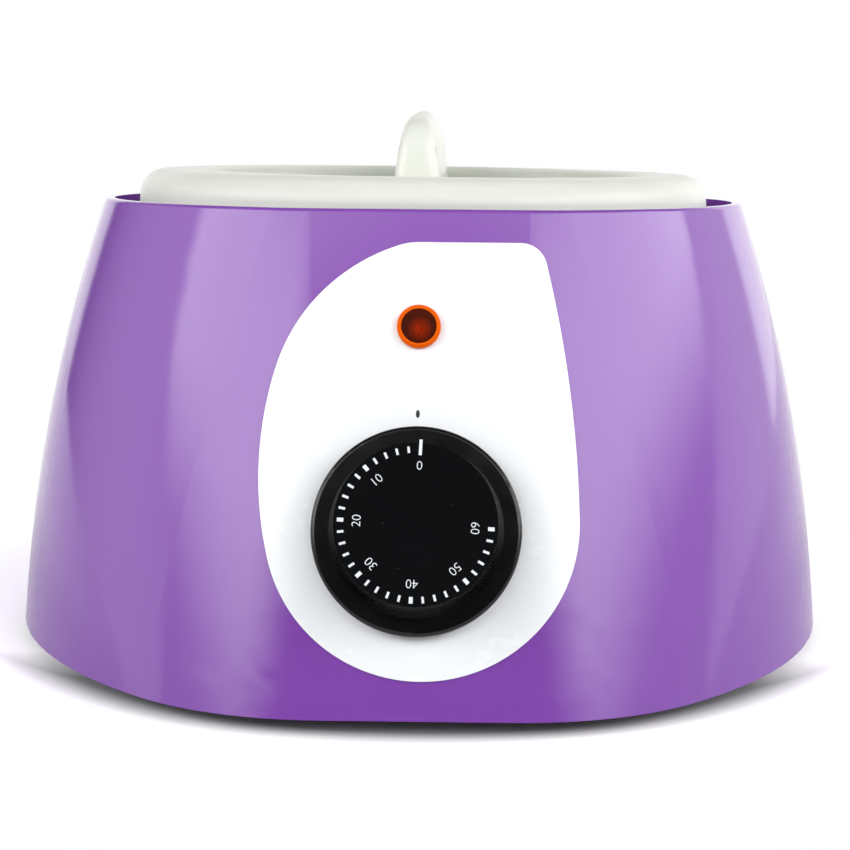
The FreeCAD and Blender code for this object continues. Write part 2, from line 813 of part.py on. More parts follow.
def heating_well():
    wall = S.well_wall
    top = WELL_FLANGE_TOP
    bevel = S.well_bevel
    body = turned("well_pan", [
        (0, WELL_UNDER),
        (well_radius_at(WELL_UNDER) + wall - bevel, WELL_UNDER),
        (well_radius_at(WELL_UNDER + bevel) + wall, WELL_UNDER + bevel),
        (well_radius_at(top - wall) + wall, top - wall),
        (S.well_flange_radius, top - wall),
        (S.well_flange_radius, top),
        (well_radius_at(top), top),
        (well_radius_at(WELL_FLOOR + bevel), WELL_FLOOR + bevel),
        (well_radius_at(WELL_FLOOR) - bevel, WELL_FLOOR),
        (0, WELL_FLOOR),
    ])
    stud = cylinder("well_stud", S.stud_radius, S.stud_length, z=WELL_UNDER - S.stud_length)
    holes = [cylinder("well_hole_%d" % index, S.screw_radius, 3 * wall, x, y, top - 2 * wall)
             for index, (x, y) in enumerate(well_screw_places(), 1)]
    return piece(cut("well_drilled", fused("well_with_stud", body, stud), *holes), "heating_well")


def well_parts():
    gasket = turned("gasket_ring", [
        (S.ledge_bore, WELL_FLANGE_TOP),
        (S.well_flange_radius, WELL_FLANGE_TOP),
        (S.well_flange_radius, LEDGE_UNDER),
        (S.ledge_bore, LEDGE_UNDER),
    ])
    holes = [cylinder("gasket_hole_%d" % index, S.screw_radius, 3 * S.gasket_thickness, x, y,
                      WELL_FLANGE_TOP - S.gasket_thickness)
             for index, (x, y) in enumerate(well_screw_places(), 1)]
    piece(cut("gasket_drilled", gasket, *holes), "well_gasket")
    flange_under = WELL_FLANGE_TOP - S.well_wall
    screws = [screw("well_screw_%d" % index, x, y, flange_under, S.well_screw_length)
              for index, (x, y) in enumerate(well_screw_places(), 1)]
    piece(group("well_screw_group", screws), "well_screws")

    heater = cut("heater_disc_drilled", cylinder("heater_blank", S.heater_radius, S.heater_thickness,
                                                 z=HEATER_UNDER),
                 cylinder("heater_hole", S.stud_radius, 3 * S.heater_thickness,
                          z=HEATER_UNDER - S.heater_thickness))
    piece(heater, "heater_disc")
    press = cut("press_plate_drilled", cylinder("press_blank", S.press_plate_radius,
                                                S.press_plate_thickness, z=PRESS_UNDER),
                cylinder("press_hole", S.stud_radius, 3 * S.press_plate_thickness,
                         z=PRESS_UNDER - S.press_plate_thickness))
    piece(press, "heater_press_plate")
    nut = cut("stud_nut_drilled", prism("stud_nut_blank", S.nut_across_flats, S.nut_height,
                                        z=PRESS_UNDER - S.nut_height),
              cylinder("stud_nut_hole", S.stud_radius, 3 * S.nut_height, z=PRESS_UNDER - 2 * S.nut_height))
    piece(nut, "stud_nut")

    low = S.wrap_low
    high = S.wrap_high
    skin = S.well_wall
    wrap = turned("insulation_wrap", [
        (well_radius_at(low) + skin, low),
        (well_radius_at(low) + skin + S.wrap_thickness, low),
        (well_radius_at(high) + skin + S.wrap_thickness, high),
        (well_radius_at(high) + skin, high),
    ])
    piece(wrap, "insulation_wrap")


def strap(name, length, radius, x, y, top):
    """A bridge of strip metal that holds a round thing against the plate above it."""
    thick = S.strap_thickness
    arch = facing_back(cylinder(name + "_arch", radius + thick, length, x, y - length / 2, top - radius))
    hollow = facing_back(cylinder(name + "_hollow", radius, 3 * length, x, y - 1.5 * length, top - radius))
    side = block(name + "_side", 2 * (radius + thick), length, radius, x, y, top - radius)
    gap = block(name + "_gap", 2 * radius, 3 * length, radius, x, y, top - radius)
    feet = block(name + "_feet", 2 * (radius + S.strap_foot), length, thick, x, y, top - thick)
    above = block(name + "_above", 4 * radius, 3 * length, 2 * radius, x, y, top)
    return cut(name, fused(name + "_whole", arch, side, feet), hollow, gap, above)


def sensors():
    cutout = fused("cutout_whole",
                   cylinder("cutout_can", S.cutout_radius, S.cutout_height, S.cutout_x, 0,
                            PRESS_UNDER - S.cutout_height),
                   *[block("cutout_tab_%d" % (side + 2), S.tab_thickness, S.tab_width, S.tab_length,
                           S.cutout_x + side * S.cutout_tab_x, 0,
                           PRESS_UNDER - S.cutout_height - S.tab_length) for side in (-1, 1)])
    piece(cutout, "thermal_cutout")
    ears = fused("cutout_ears",
                 block("cutout_ear_strip", 2 * (S.cutout_radius + S.strap_foot), S.strap_width,
                       S.strap_thickness, S.cutout_x, 0, PRESS_UNDER - S.strap_thickness),
                 cylinder("cutout_ear_ring", S.cutout_radius + S.cutout_ring, S.strap_thickness,
                          S.cutout_x, 0, PRESS_UNDER - S.strap_thickness))
    clip = cut("cutout_clip_whole", ears, cylinder("cutout_clip_hole", S.cutout_radius, S.cutout_height,
                                                   S.cutout_x, 0, PRESS_UNDER - S.cutout_height))
    piece(clip, "cutout_clip")
    bulb_height = PRESS_UNDER - S.bulb_radius
    bulb = facing_back(cylinder("sensor_bulb", S.bulb_radius, S.bulb_length, S.bulb_x,
                                -S.bulb_length / 2, bulb_height))
    piece(bulb, "sensor_bulb")
    piece(strap("bulb_strap", S.strap_width, S.bulb_radius, S.bulb_x, as_size(0), PRESS_UNDER), "bulb_clip")


# Leads and the capillary: straight runs joined by arcs

def route_tube(name, radius, points):
    """A round tube along straight runs, with a tangent arc at every corner."""
    edges = []
    start = points[0]
    for index in range(1, len(points) - 1):
        before, corner, after = points[index - 1:index + 2]
        into = (corner - before).normalize()
        out = (after - corner).normalize()
        turn = into.getAngle(out)
        run = min((corner - before).Length, (after - corner).Length)
        back = 0.45 * run
        arc_radius = back / math.tan(turn / 2)
        centre = corner + (out - into).normalize() * (arc_radius / math.cos(turn / 2))
        middle = centre + (corner - centre).normalize() * arc_radius
        first = corner - into * back
        last = corner + out * back
        edges.append(Part.LineSegment(start, first).toShape())
        edges.append(Part.Arc(first, middle, last).toShape())
        start = last
    edges.append(Part.LineSegment(start, points[-1]).toShape())
    path = Part.Wire(edges)
    heading = (points[1] - points[0]).normalize()
    section = Part.Wire([Part.Circle(points[0], heading, radius).toShape()])
    tube = doc.addObject("Part::Feature", name)
    tube.Shape = path.makePipeShell([section], True, True)
    return piece(tube, name)


# Front panel

def front_label():
    """A thin sheet with a round foot that narrows upwards, on the leaning front."""
    top = S.label_top_up.value
    left = -S.label_top_left.value
    right = S.label_top_right.value
    low_centre = Vector(S.label_centre_right.value, S.label_centre_up.value, 0)
    low = S.label_low_radius.value

    # From the top edge a corner arc and a shoulder arc run down on the left, a corner arc on the right
    left_turn = 90 + S.label_left_turn.value
    shoulder_turn = left_turn + S.label_shoulder_turn.value
    right_turn = 90 - S.label_right_turn.value
    left_corner = Vector(left, top - S.label_left_corner.value, 0)
    left_end = left_corner + direction(left_turn) * S.label_left_corner.value
    shoulder = left_end - direction(left_turn) * S.label_shoulder.value
    shoulder_end = shoulder + direction(shoulder_turn) * S.label_shoulder.value
    right_corner = Vector(right, top - S.label_right_corner.value, 0)
    right_end = right_corner + direction(right_turn) * S.label_right_corner.value

    def side_arc(end, heading):
        """The arc that continues from there and touches the round foot."""
        reach = end - low_centre
        radius = (reach.dot(reach) - low * low) / (2 * (heading.dot(reach) - low))
        centre = end - heading * radius
        meeting = low_centre - centre
        return centre, radius, math.degrees(math.atan2(meeting.y, meeting.x))

    left_side, left_radius, left_touch = side_arc(shoulder_end, direction(shoulder_turn))
    right_side, right_radius, right_touch = side_arc(right_end, direction(right_turn))
    left_touch += 360
    sketch = doc.addObject("Sketcher::SketchObject", "label_outline")
    sketch.addGeometry(Part.LineSegment(Vector(right, top, 0), Vector(left, top, 0)), False)
    add_arc(sketch, left_corner, S.label_left_corner.value, 90, left_turn)
    add_arc(sketch, shoulder, S.label_shoulder.value, left_turn, shoulder_turn)
    add_arc(sketch, left_side, left_radius, shoulder_turn, left_touch)
    add_arc(sketch, low_centre, low, left_touch, right_touch + 360)
    add_arc(sketch, right_side, right_radius, right_touch, right_turn)
    add_arc(sketch, right_corner, S.label_right_corner.value, right_turn, 90)
    join_ends(sketch, "Tangent", 7)
    hold_point(sketch, 0, 1, S.label_top_right, S.label_top_up)
    hold_point(sketch, 0, 2, -S.label_top_left, S.label_top_up)
    hold_point(sketch, 4, 3, S.label_centre_right, S.label_centre_up)
    hold_radius(sketch, 1, S.label_left_corner)
    hold_radius(sketch, 2, S.label_shoulder)
    hold_radius(sketch, 4, S.label_low_radius)
    hold_radius(sketch, 6, S.label_right_corner)
    hold_turn(sketch, 1, S.label_left_turn)
    hold_turn(sketch, 2, S.label_shoulder_turn)
    hold_turn(sketch, 6, S.label_right_turn)
    sketch.Placement = facet_place(0.0)
    stamp = extruded("label_stamp", sketch, S.label_low_radius * 2, True)
    skin = cut("label_skin", housing_loft("label_form", as_size(0), as_size(1), S.label_thickness),
               housing_loft("label_seat", as_size(0), as_size(1), as_size(0)))
    sheet_piece = shared("label_sheet", skin, stamp)
    deep = 8 * S.label_thickness
    lamp = on_facet(cylinder("label_lamp_hole", S.lamp_sleeve + S.hole_clearance, deep, z=-deep / 2), S.lamp_up)
    window = on_facet(cylinder("label_window", S.label_window, deep, z=-deep / 2), S.knob_up)
    return piece(cut("label_cut", sheet_piece, lamp, window), "front_label")


def stand_on_front(item, up):
    """Moves a finished piece, drawn about its own Z, onto the leaning front."""
    item.Placement = facet_place(up.value)
    return item


def pilot_lamp():
    sleeve = S.lamp_sleeve
    bore = sleeve - S.lamp_sleeve_wall
    seat = S.label_thickness
    lens_seat = seat + S.lamp_step
    lens_top = seat + S.lamp_rise - S.lens_sunk
    ring = turned("pilot_lamp_ring", [
        (bore, -S.lamp_depth),
        (sleeve, -S.lamp_depth),
        (sleeve, seat),
        (S.lamp_radius, seat),
        (S.lamp_radius, seat + S.lamp_rise - S.lamp_bevel),
        (S.lamp_radius - S.lamp_bevel, seat + S.lamp_rise),
        (S.lamp_window, seat + S.lamp_rise),
        (S.lamp_window, lens_seat),
        (bore, lens_seat),
    ])
    stand_on_front(piece(ring, "pilot_lamp_ring"), S.lamp_up)
    lens = turned("pilot_lamp_lens", [
        (0, -S.lamp_depth / 2),
        (bore, -S.lamp_depth / 2),
        (bore, lens_seat),
        (S.lamp_window, lens_seat),
        (S.lamp_window, lens_top),
        (0, lens_top),
    ])
    stand_on_front(piece(lens, "pilot_lamp_lens"), S.lamp_up)
    body_low = -S.lamp_depth / 2 - S.lamp_body_length
    capsule = fused("lamp_body_whole",
                    cylinder("lamp_capsule", bore, S.lamp_body_length, z=body_low),
                    *[block("lamp_tab_%d" % (side + 2), S.lamp_tab_thickness, S.lamp_tab_width,
                            S.lamp_tab_length, side * S.lamp_tab_x, 0, body_low - S.lamp_tab_length)
                      for side in (-1, 1)])
    stand_on_front(piece(capsule, "pilot_lamp_body"), S.lamp_up)
    clip_thick = S.lamp_clip_thickness
    clip = cut("lamp_clip_whole",
               cylinder("lamp_clip_blank", sleeve + S.lamp_clip_rim, clip_thick, z=-S.shell_wall - clip_thick),
               cylinder("lamp_clip_hole", sleeve, 3 * clip_thick, z=-S.shell_wall - 2 * clip_thick))
    stand_on_front(piece(clip, "lamp_retaining_ring"), S.lamp_up)


def control_knob():
    wall = S.knob_wall
    bore_end = DISC_TOP - 2 * wall
    hub_low = KNOB_BACK + S.hub_inset
    body = turned("control_knob", [
        (S.knob_radius - wall, KNOB_BACK),
        (S.knob_radius, KNOB_BACK),
        (S.knob_radius, SKIRT_TOP),
        (S.knob_grip_radius, SKIRT_TOP),
        (S.knob_disc_radius, DISC_TOP),
        (0, DISC_TOP),
        (0, bore_end),
        (S.shaft_radius, bore_end),
        (S.shaft_radius, hub_low),
        (S.knob_hub, hub_low),
        (S.knob_hub, DISC_TOP - wall),
        (S.knob_disc_radius - wall, DISC_TOP - wall),
        (S.knob_grip_radius - wall, SKIRT_TOP - wall),
        (S.knob_radius - wall, SKIRT_TOP - wall),
    ])
    round_rings(body, S.knob_round, (S.knob_radius, SKIRT_TOP))
    round_rings(body, S.knob_round / 2, (S.knob_disc_radius, DISC_TOP))
    sketch = body_sketch(body, "mark_outline", "XY_Plane")
    sketch.setExpression("AttachmentOffset.Base.z", SKIRT_TOP.text)
    low = S.knob_grip_radius + S.knob_gap
    high = low + S.mark_length
    half = S.mark_width / 2
    draw_polygon(sketch, [(-half, low), (half, low), (half, high), (-half, high)])
    mark = body.newObject("PartDesign::Pocket", "mark")
    mark.Profile = sketch
    bind(mark, Length=S.mark_depth)
    return stand_on_front(piece(body, "control_knob"), S.knob_up)


def thermostat():
    wall = S.shell_wall
    plate_top = -wall
    plate_under = plate_top - S.thermostat_plate
    body_under = plate_under - S.thermostat_depth
    bore = S.shaft_radius + S.shaft_clearance
    plate = fused("thermostat_plate_whole",
                  block("plate_sheet", S.thermostat_plate_width, S.thermostat_width, S.thermostat_plate,
                        0, 0, plate_under),
                  cylinder("plate_bush", S.bush_radius, wall + S.thermostat_plate, z=plate_under))
    plate_low = plate_under - wall
    through = 3 * wall + S.thermostat_plate
    holes = [cylinder("plate_bore", bore, through, z=plate_low)]
    holes += [cylinder("plate_thread_%d" % (side + 2), S.thermostat_screw_radius, through,
                       side * S.thermostat_screw_x, 0, plate_low) for side in (-1, 1)]
    stand_on_front(piece(cut("thermostat_plate_cut", plate, *holes), "thermostat_plate"), S.knob_up)

    width = S.thermostat_width
    tabs = [block("case_tab_%d" % (index + 1), S.tab_width, S.tab_thickness, S.tab_length,
                  (index - (CASE_TABS - 1) / 2) * S.tab_pitch, width / 4, body_under - S.tab_length)
            for index in range(CASE_TABS)]
    case = fused("thermostat_case",
                 block("case_block", width, width, S.thermostat_depth, 0, 0, body_under), *tabs)
    shaft_low = plate_under - S.thermostat_depth / 2
    shaft_room = cylinder("case_bore", S.bush_radius, S.thermostat_depth, z=shaft_low)
    screw_end = plate_under - S.thermostat_screw_tip
    screw_room = [cylinder("case_screw_room_%d" % (side + 2), S.thermostat_head_radius, wall * 2,
                           side * S.thermostat_screw_x, 0, screw_end - S.thermostat_room)
                  for side in (-1, 1)]
    body = cut("thermostat_case_cut", case, shaft_room, *screw_room)
    stand_on_front(piece(body, "thermostat_body"), S.knob_up)

    screws = []
    for side in (-1, 1):
        x = side * S.thermostat_screw_x
        name = "thermostat_screw_%d" % (side + 2)
        head = cylinder(name + "_head", S.thermostat_head_radius, S.screw_head_height, x, 0, 0)
        shank = cylinder(name + "_shank", S.thermostat_screw_radius, -screw_end, x, 0, screw_end)
        screws.append(fused(name, head, shank))
    stand_on_front(piece(group("thermostat_screw_group", screws), "thermostat_screws"), S.knob_up)

    # The shaft turns with the knob; its flat takes the spring clip
    shaft_end = shaft_low + S.thermostat_room
    shaft_top = DISC_TOP - 2 * S.knob_wall
    rod = cylinder("shaft_rod", S.shaft_radius, shaft_top - shaft_end, z=shaft_end)
    flat_length = S.knob_grip_height - S.knob_wall
    flat = block("shaft_flat_cut", 2 * S.shaft_radius, S.shaft_radius, flat_length, 0,
                 S.shaft_flat + S.shaft_radius / 2, shaft_top - flat_length)
    stand_on_front(piece(cut("shaft_whole", rod, flat), "thermostat_shaft"), S.knob_up)
    clip = shared("clip_whole",
                  cylinder("clip_round", S.shaft_radius, flat_length, z=shaft_top - flat_length),
                  block("clip_block", 2 * S.shaft_radius, S.shaft_radius, flat_length, 0,
                        S.shaft_flat + S.shaft_radius / 2, shaft_top - flat_length))
    stand_on_front(piece(clip, "knob_spring_clip"), S.knob_up)


# Mains entry

def cord_gland():
    flats = S.gland_across_flats
    bore = S.gland_bore
    way_radius = S.gland_way
    flange = facing_back(prism("gland_hex", flats, S.gland_flange, y=GLAND_FACE, z=GLAND_HEIGHT))
    thread = facing_back(cylinder("gland_shank", S.gland_radius, S.gland_thread,
                                  y=GLAND_FACE - S.gland_thread, z=GLAND_HEIGHT))
    hole = facing_back(cylinder("gland_way", way_radius, 3 * S.gland_thread,
                                y=GLAND_FACE - 2 * S.gland_thread, z=GLAND_HEIGHT))
    piece(cut("gland_whole", fused("gland_solid", flange, thread), hole), "cord_gland")

    dome = turned("gland_dome_nut", [
        (bore, 0),
        (flats / 2, 0),
        (flats / 2, S.gland_dome / 2),
        (flats / 2 - S.gland_dome_bevel, S.gland_dome),
        (bore, S.gland_dome),
    ])
    facing_back(dome)
    piece(at(dome, y=GLAND_FACE + S.gland_flange, z=GLAND_HEIGHT), "gland_dome_nut")

    inner_face = GLAND_FACE - S.pad_proud - S.shell_wall - S.pad_wall
    nut = facing_back(prism("gland_nut_hex", flats, S.locknut_height, y=inner_face - S.locknut_height,
                            z=GLAND_HEIGHT))
    way = facing_back(cylinder("gland_nut_way", S.gland_radius, 3 * S.locknut_height,
                               y=inner_face - 2 * S.locknut_height, z=GLAND_HEIGHT))
    piece(cut("gland_nut_whole", nut, way), "gland_locknut")


def terminal_place(index):
    pitch = S.terminal_width / TERMINAL_WAYS
    return S.terminal_x + (index - (TERMINAL_WAYS - 1) / 2) * pitch


def terminals():
    case = block("terminal_case", S.terminal_width, S.terminal_depth, S.terminal_height,
                 S.terminal_x, S.terminal_y, PLATE_TOP)
    ways = [cylinder("terminal_well_%d" % (index + 1), S.terminal_well_radius, S.terminal_height,
                     terminal_place(index), S.terminal_y,
                     PLATE_TOP + S.terminal_height - S.terminal_well_depth)
            for index in range(TERMINAL_WAYS)]
    piece(cut("terminal_whole", case, *ways), "terminal_block")
    stud = screw("earth_stud", S.earth_x, S.earth_y, PLATE_UNDER, S.screw_length)
    piece(stud, "earth_screw")
    height = S.earth_nut_height
    nut = cut("earth_nut_whole",
              prism("earth_nut_hex", S.earth_nut_flats, height, S.earth_x, S.earth_y, PLATE_TOP),
              cylinder("earth_nut_hole", S.screw_radius, 3 * height, S.earth_x, S.earth_y, PLATE_TOP - height))
    piece(nut, "earth_nut")


def leads():
    """The capillary and the three leads, each along its own route inside the housing."""
    bulb_height = (PRESS_UNDER - S.bulb_radius).value
    bulb_front = -S.bulb_length.value / 2
    case = facet_place(S.knob_up.value)
    depth = (S.shell_wall + S.thermostat_plate + S.thermostat_depth).value

    def behind(x, y, inwards):
        """A point behind the thermostat, measured inwards from the housing's face."""
        return case.multVec(Vector(x, y, -inwards))

    route_tube("capillary_tube", S.capillary_radius.value, [
        Vector(S.bulb_x.value, bulb_front, bulb_height),
        Vector(S.bulb_x.value, bulb_front - 12, bulb_height - 1),
        Vector(S.bulb_x.value + 8, bulb_front - 26, bulb_height - 8),
        behind(-8, -6, depth + 12),
        behind(-8, -8, depth),
    ])
    terminal_top = (PLATE_TOP + S.terminal_height).value
    live_x = terminal_place(0).value
    neutral_x = terminal_place(TERMINAL_WAYS - 1).value
    y = S.terminal_y.value
    floor = terminal_top - S.terminal_well_depth.value
    tab_x = (-(CASE_TABS - 1) / 2 * S.tab_pitch).value
    route_tube("live_lead", S.lead_radius.value, [
        Vector(live_x, y, floor),
        Vector(live_x, y - 1, floor + 9),
        Vector(live_x - 10, y - 16, floor + 13),
        Vector(live_x - 16, y - 50, floor + 4),
        Vector(live_x - 6, y - 88, floor + 2),
        Vector(-28, y - 120, floor + 5),
        behind(tab_x, -2, depth + 14),
        behind(tab_x, -2, depth),
    ])
    tab_low = (PRESS_UNDER - S.cutout_height - S.tab_length).value
    cutout_x = (S.cutout_x - S.cutout_tab_x).value
    route_tube("neutral_lead", S.lead_radius.value, [
        Vector(neutral_x, y, floor),
        Vector(neutral_x + 1, y - 1, floor + 8),
        Vector(neutral_x + 8, y - 14, floor + 6),
        Vector(neutral_x + 18, y - 34, floor - 4),
        Vector(cutout_x, 12, tab_low - 7),
        Vector(cutout_x, 0, tab_low - 6),
        Vector(cutout_x, 0, tab_low),
    ])


outer_shell()
base_plate()
feet_and_screws()
melting_bowl()
lid()
heating_well()
well_parts()
sensors()
front_label()
pilot_lamp()
control_knob()
thermostat()
cord_gland()
terminals()
leads()
doc.recompute()

for item in doc.Objects:
    if "Invalid" in item.State or "Error" in item.State:
        raise RuntimeError("%s did not build: %s" % (item.Label, item.State))
for item in PIECES:
    shape = item.Shape
    if shape.isNull() or not shape.isValid() or not shape.Solids:
        raise RuntimeError("%s has no valid solid" % item.Label)

os.makedirs("parts", exist_ok=True)
for item in PIECES:
    item.Shape.exportStep(os.path.join("parts", item.Label + ".step"))
    print(item.Label, len(item.Shape.Solids), round(item.Shape.Volume, 1))
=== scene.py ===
import json
import math

import bpy
from mathutils import Matrix, Vector


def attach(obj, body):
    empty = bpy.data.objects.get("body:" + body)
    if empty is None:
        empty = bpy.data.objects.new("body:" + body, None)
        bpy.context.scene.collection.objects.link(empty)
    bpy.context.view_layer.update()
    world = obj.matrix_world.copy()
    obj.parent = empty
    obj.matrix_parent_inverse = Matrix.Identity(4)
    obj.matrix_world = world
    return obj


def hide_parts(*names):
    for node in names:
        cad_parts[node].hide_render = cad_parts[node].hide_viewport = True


# A small table-top melting tank: violet moulded housing, white front label, black dial,
# orange pilot lamp and an off-white lid. Metres, +Z up, the front faces -Y.

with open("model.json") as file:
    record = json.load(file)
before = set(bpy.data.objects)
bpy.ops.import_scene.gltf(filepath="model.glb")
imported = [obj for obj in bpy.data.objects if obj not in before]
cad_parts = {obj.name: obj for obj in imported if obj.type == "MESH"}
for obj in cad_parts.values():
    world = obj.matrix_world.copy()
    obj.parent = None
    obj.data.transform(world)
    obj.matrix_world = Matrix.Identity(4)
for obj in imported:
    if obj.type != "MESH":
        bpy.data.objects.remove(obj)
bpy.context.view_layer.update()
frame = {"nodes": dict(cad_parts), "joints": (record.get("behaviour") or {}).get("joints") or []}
nodes = frame["nodes"]
MM = 0.001


# The leaning front, taken from the dial's own joint

dial_joint = next(joint for joint in frame["joints"] if joint["name"] == "knob_turn")
FRONT_CENTRE = Vector(dial_joint["pos_m"])
OUTWARD = -Vector(dial_joint["axis"]).normalized()
ACROSS = Vector((1, 0, 0))
UPWARD = OUTWARD.cross(ACROSS)


def on_front(across=0.0, up=0.0, out=0.0, turn=0.0):
    """The matrix of a place on the leaning front, measured from the dial's centre."""
    place = FRONT_CENTRE + ACROSS * across + UPWARD * up + OUTWARD * out
    axes = Matrix((ACROSS, UPWARD, OUTWARD)).transposed().to_4x4()
    return Matrix.Translation(place) @ axes @ Matrix.Rotation(turn, 4, "Z")


def stands_out(node):
    """How far a CAD node reaches out of the leaning front."""
    return max((vertex.co - FRONT_CENTRE).dot(OUTWARD) for vertex in nodes[node].data.vertices)


def middle_up(node):
    """How far up the front the middle of a CAD node is, from the dial's centre."""
    reaches = [(vertex.co - FRONT_CENTRE).dot(UPWARD) for vertex in nodes[node].data.vertices]
    return (min(reaches) + max(reaches)) / 2


# Material helpers. Noise scales are features per metre.

TONE_SCALE = 45
GLOSS_SCALE = 160
SKIN_SCALE = 1400
SPECK_SCALE = 240
RING_SCALE = 2600
SKIN_DEPTH = 0.01 * MM
COAT_ROUGHNESS = 0.05


def add(tree, kind, inputs=None, **settings):
    node = tree.nodes.new(kind)
    for name, value in settings.items():
        setattr(node, name, value)
    for name, value in (inputs or {}).items():
        node.inputs[name].default_value = value
    return node


def calculate(tree, operation, first, second=0.0):
    node = add(tree, "ShaderNodeMath", operation=operation)
    for socket, value in zip(node.inputs, (first, second)):
        if isinstance(value, (int, float)):
            socket.default_value = value
        else:
            tree.links.new(value, socket)
    return node.outputs["Value"]


def noise(tree, place, scale, detail=2.0):
    """Noise between 0 and 1 with features of about 1 / scale metres."""
    texture = add(tree, "ShaderNodeTexNoise", {"Scale": scale, "Detail": detail})
    tree.links.new(place, texture.inputs["Vector"])
    return texture.outputs["Fac"]


def spread(tree, value, low, high, start=0.3, end=0.7, smooth=False):
    """Carries a value from the range start to end over to the range low to high."""
    limits = {"From Min": start, "From Max": end, "To Min": low, "To Max": high}
    kind = "SMOOTHSTEP" if smooth else "LINEAR"
    span = add(tree, "ShaderNodeMapRange", limits, interpolation_type=kind)
    tree.links.new(value, span.inputs["Value"])
    return span.outputs["Result"]


def blend_colours(tree, share, first, second):
    mix = add(tree, "ShaderNodeMix", data_type="RGBA")
    for socket, colour in ((mix.inputs[6], first), (mix.inputs[7], second)):
        if isinstance(colour, tuple):
            socket.default_value = (*colour, 1.0)
        else:
            tree.links.new(colour, socket)
    tree.links.new(share, mix.inputs["Factor"])
    return mix.outputs[2]


def bump(tree, height, distance):
    node = add(tree, "ShaderNodeBump", {"Strength": 1.0, "Distance": distance})
    tree.links.new(height, node.inputs["Height"])
    return node.outputs["Normal"]


def specks(tree, place, scale, size):
    """Sparse round specks: 1 inside a speck and 0 elsewhere."""
    cells = add(tree, "ShaderNodeTexVoronoi", {"Scale": scale, "Randomness": 1.0})
    tree.links.new(place, cells.inputs["Vector"])
    return spread(tree, cells.outputs["Distance"], 1.0, 0.0, size * 0.6, size)


def round_axis(tree, place):
    """The distance from the object's upright axis, and the height."""
    axes = add(tree, "ShaderNodeSeparateXYZ")
    tree.links.new(place, axes.inputs["Vector"])
    flat = add(tree, "ShaderNodeCombineXYZ")
    tree.links.new(axes.outputs["X"], flat.inputs["X"])
    tree.links.new(axes.outputs["Y"], flat.inputs["Y"])
    radius = add(tree, "ShaderNodeVectorMath", operation="LENGTH")
    tree.links.new(flat.outputs["Vector"], radius.inputs[0])
    return radius.outputs["Value"], axes.outputs["Z"]


def light_path(tree, *rays):
    """1 for the rays of the named kinds and 0 for all others."""
    path = add(tree, "ShaderNodeLightPath")
    result = path.outputs[rays[0]]
    for ray in rays[1:]:
        result = calculate(tree, "MAXIMUM", result, path.outputs[ray])
    return result


def shaded(colour, amount):
    return tuple(min(channel * amount, 1.0) for channel in colour)


def start_material(name):
    material = bpy.data.materials.new(name)
    material.use_nodes = True
    tree = material.node_tree
    place = add(tree, "ShaderNodeTexCoord").outputs["Object"]
    return material, tree, tree.nodes["Principled BSDF"], place


def moulded(name, colour, roughness, grain=0.3, uneven=0.03, dust=0.0, dust_colour=(0.9, 0.9, 0.9),
            coat=0.0):
    """Moulded plastic: slightly uneven colour and gloss, a fine skin and specks of dust."""
    material, tree, shader, place = start_material(name)
    tone = noise(tree, place, TONE_SCALE, 3)
    dark, light = shaded(colour, 1 - uneven), shaded(colour, 1 + uneven)
    paint = blend_colours(tree, spread(tree, tone, 0, 1), dark, light)
    if dust:
        paint = blend_colours(tree, specks(tree, place, SPECK_SCALE, dust), paint, dust_colour)
    tree.links.new(paint, shader.inputs["Base Color"])
    gloss = noise(tree, place, GLOSS_SCALE, 3)
    tree.links.new(spread(tree, gloss, roughness * 0.85, roughness * 1.15), shader.inputs["Roughness"])
    skin = noise(tree, place, SKIN_SCALE, 2)
    tree.links.new(bump(tree, skin, grain * SKIN_DEPTH), shader.inputs["Normal"])
    shader.inputs["Coat Weight"].default_value = coat
    shader.inputs["Coat Roughness"].default_value = COAT_ROUGHNESS
    return material


def turned_metal(name, colour, roughness, depth=0.004):
    """Metal with fine rings round the object's axis, as spinning and polishing leave."""
    material, tree, shader, place = start_material(name)
    radius, height = round_axis(tree, place)
    rings = add(tree, "ShaderNodeCombineXYZ")
    tree.links.new(radius, rings.inputs["X"])
    tree.links.new(height, rings.inputs["Z"])
    lines = noise(tree, rings.outputs["Vector"], RING_SCALE, 2)
    paint = blend_colours(tree, spread(tree, lines, 0, 1), shaded(colour, 0.93), shaded(colour, 1.05))
    tree.links.new(paint, shader.inputs["Base Color"])
    tree.links.new(spread(tree, lines, roughness * 0.8, roughness * 1.2), shader.inputs["Roughness"])
    tree.links.new(bump(tree, lines, depth * MM), shader.inputs["Normal"])
    shader.inputs["Metallic"].default_value = 1.0
    return material


def cast_metal(name, colour, roughness, grain=0.02, scale=900):
    """Metal with an even fine grain, such as zinc plate or cast aluminium."""
    material, tree, shader, place = start_material(name)
    tone = noise(tree, place, scale, 4)
    paint = blend_colours(tree, spread(tree, tone, 0, 1), shaded(colour, 0.88), shaded(colour, 1.06))
    tree.links.new(paint, shader.inputs["Base Color"])
    tree.links.new(spread(tree, tone, roughness * 0.8, roughness * 1.25), shader.inputs["Roughness"])
    tree.links.new(bump(tree, tone, grain * MM), shader.inputs["Normal"])
    shader.inputs["Metallic"].default_value = 1.0
    return material


# The finishes, one function each

# Painted shade in the lid's recess: the radius and the height where it starts and ends
PAINTED_SHADE_INSIDE = 61.6 * MM
PAINTED_SHADE_INSIDE_END = 63.5 * MM
PAINTED_SHADE_BELOW = 129.6 * MM
PAINTED_SHADE_BELOW_END = 130.5 * MM
GLOW_PLACE = (0.3 * MM, -0.8 * MM, 0.5 * MM)
GLOW_CORE = 0.6 * MM
GLOW_END = 3.2 * MM


def violet_plastic():
    """Glossy violet housing with an even colour."""
    return moulded("violet_plastic", (0.214, 0.063, 0.394), 0.10, grain=0.12, uneven=0.015, coat=0.15)


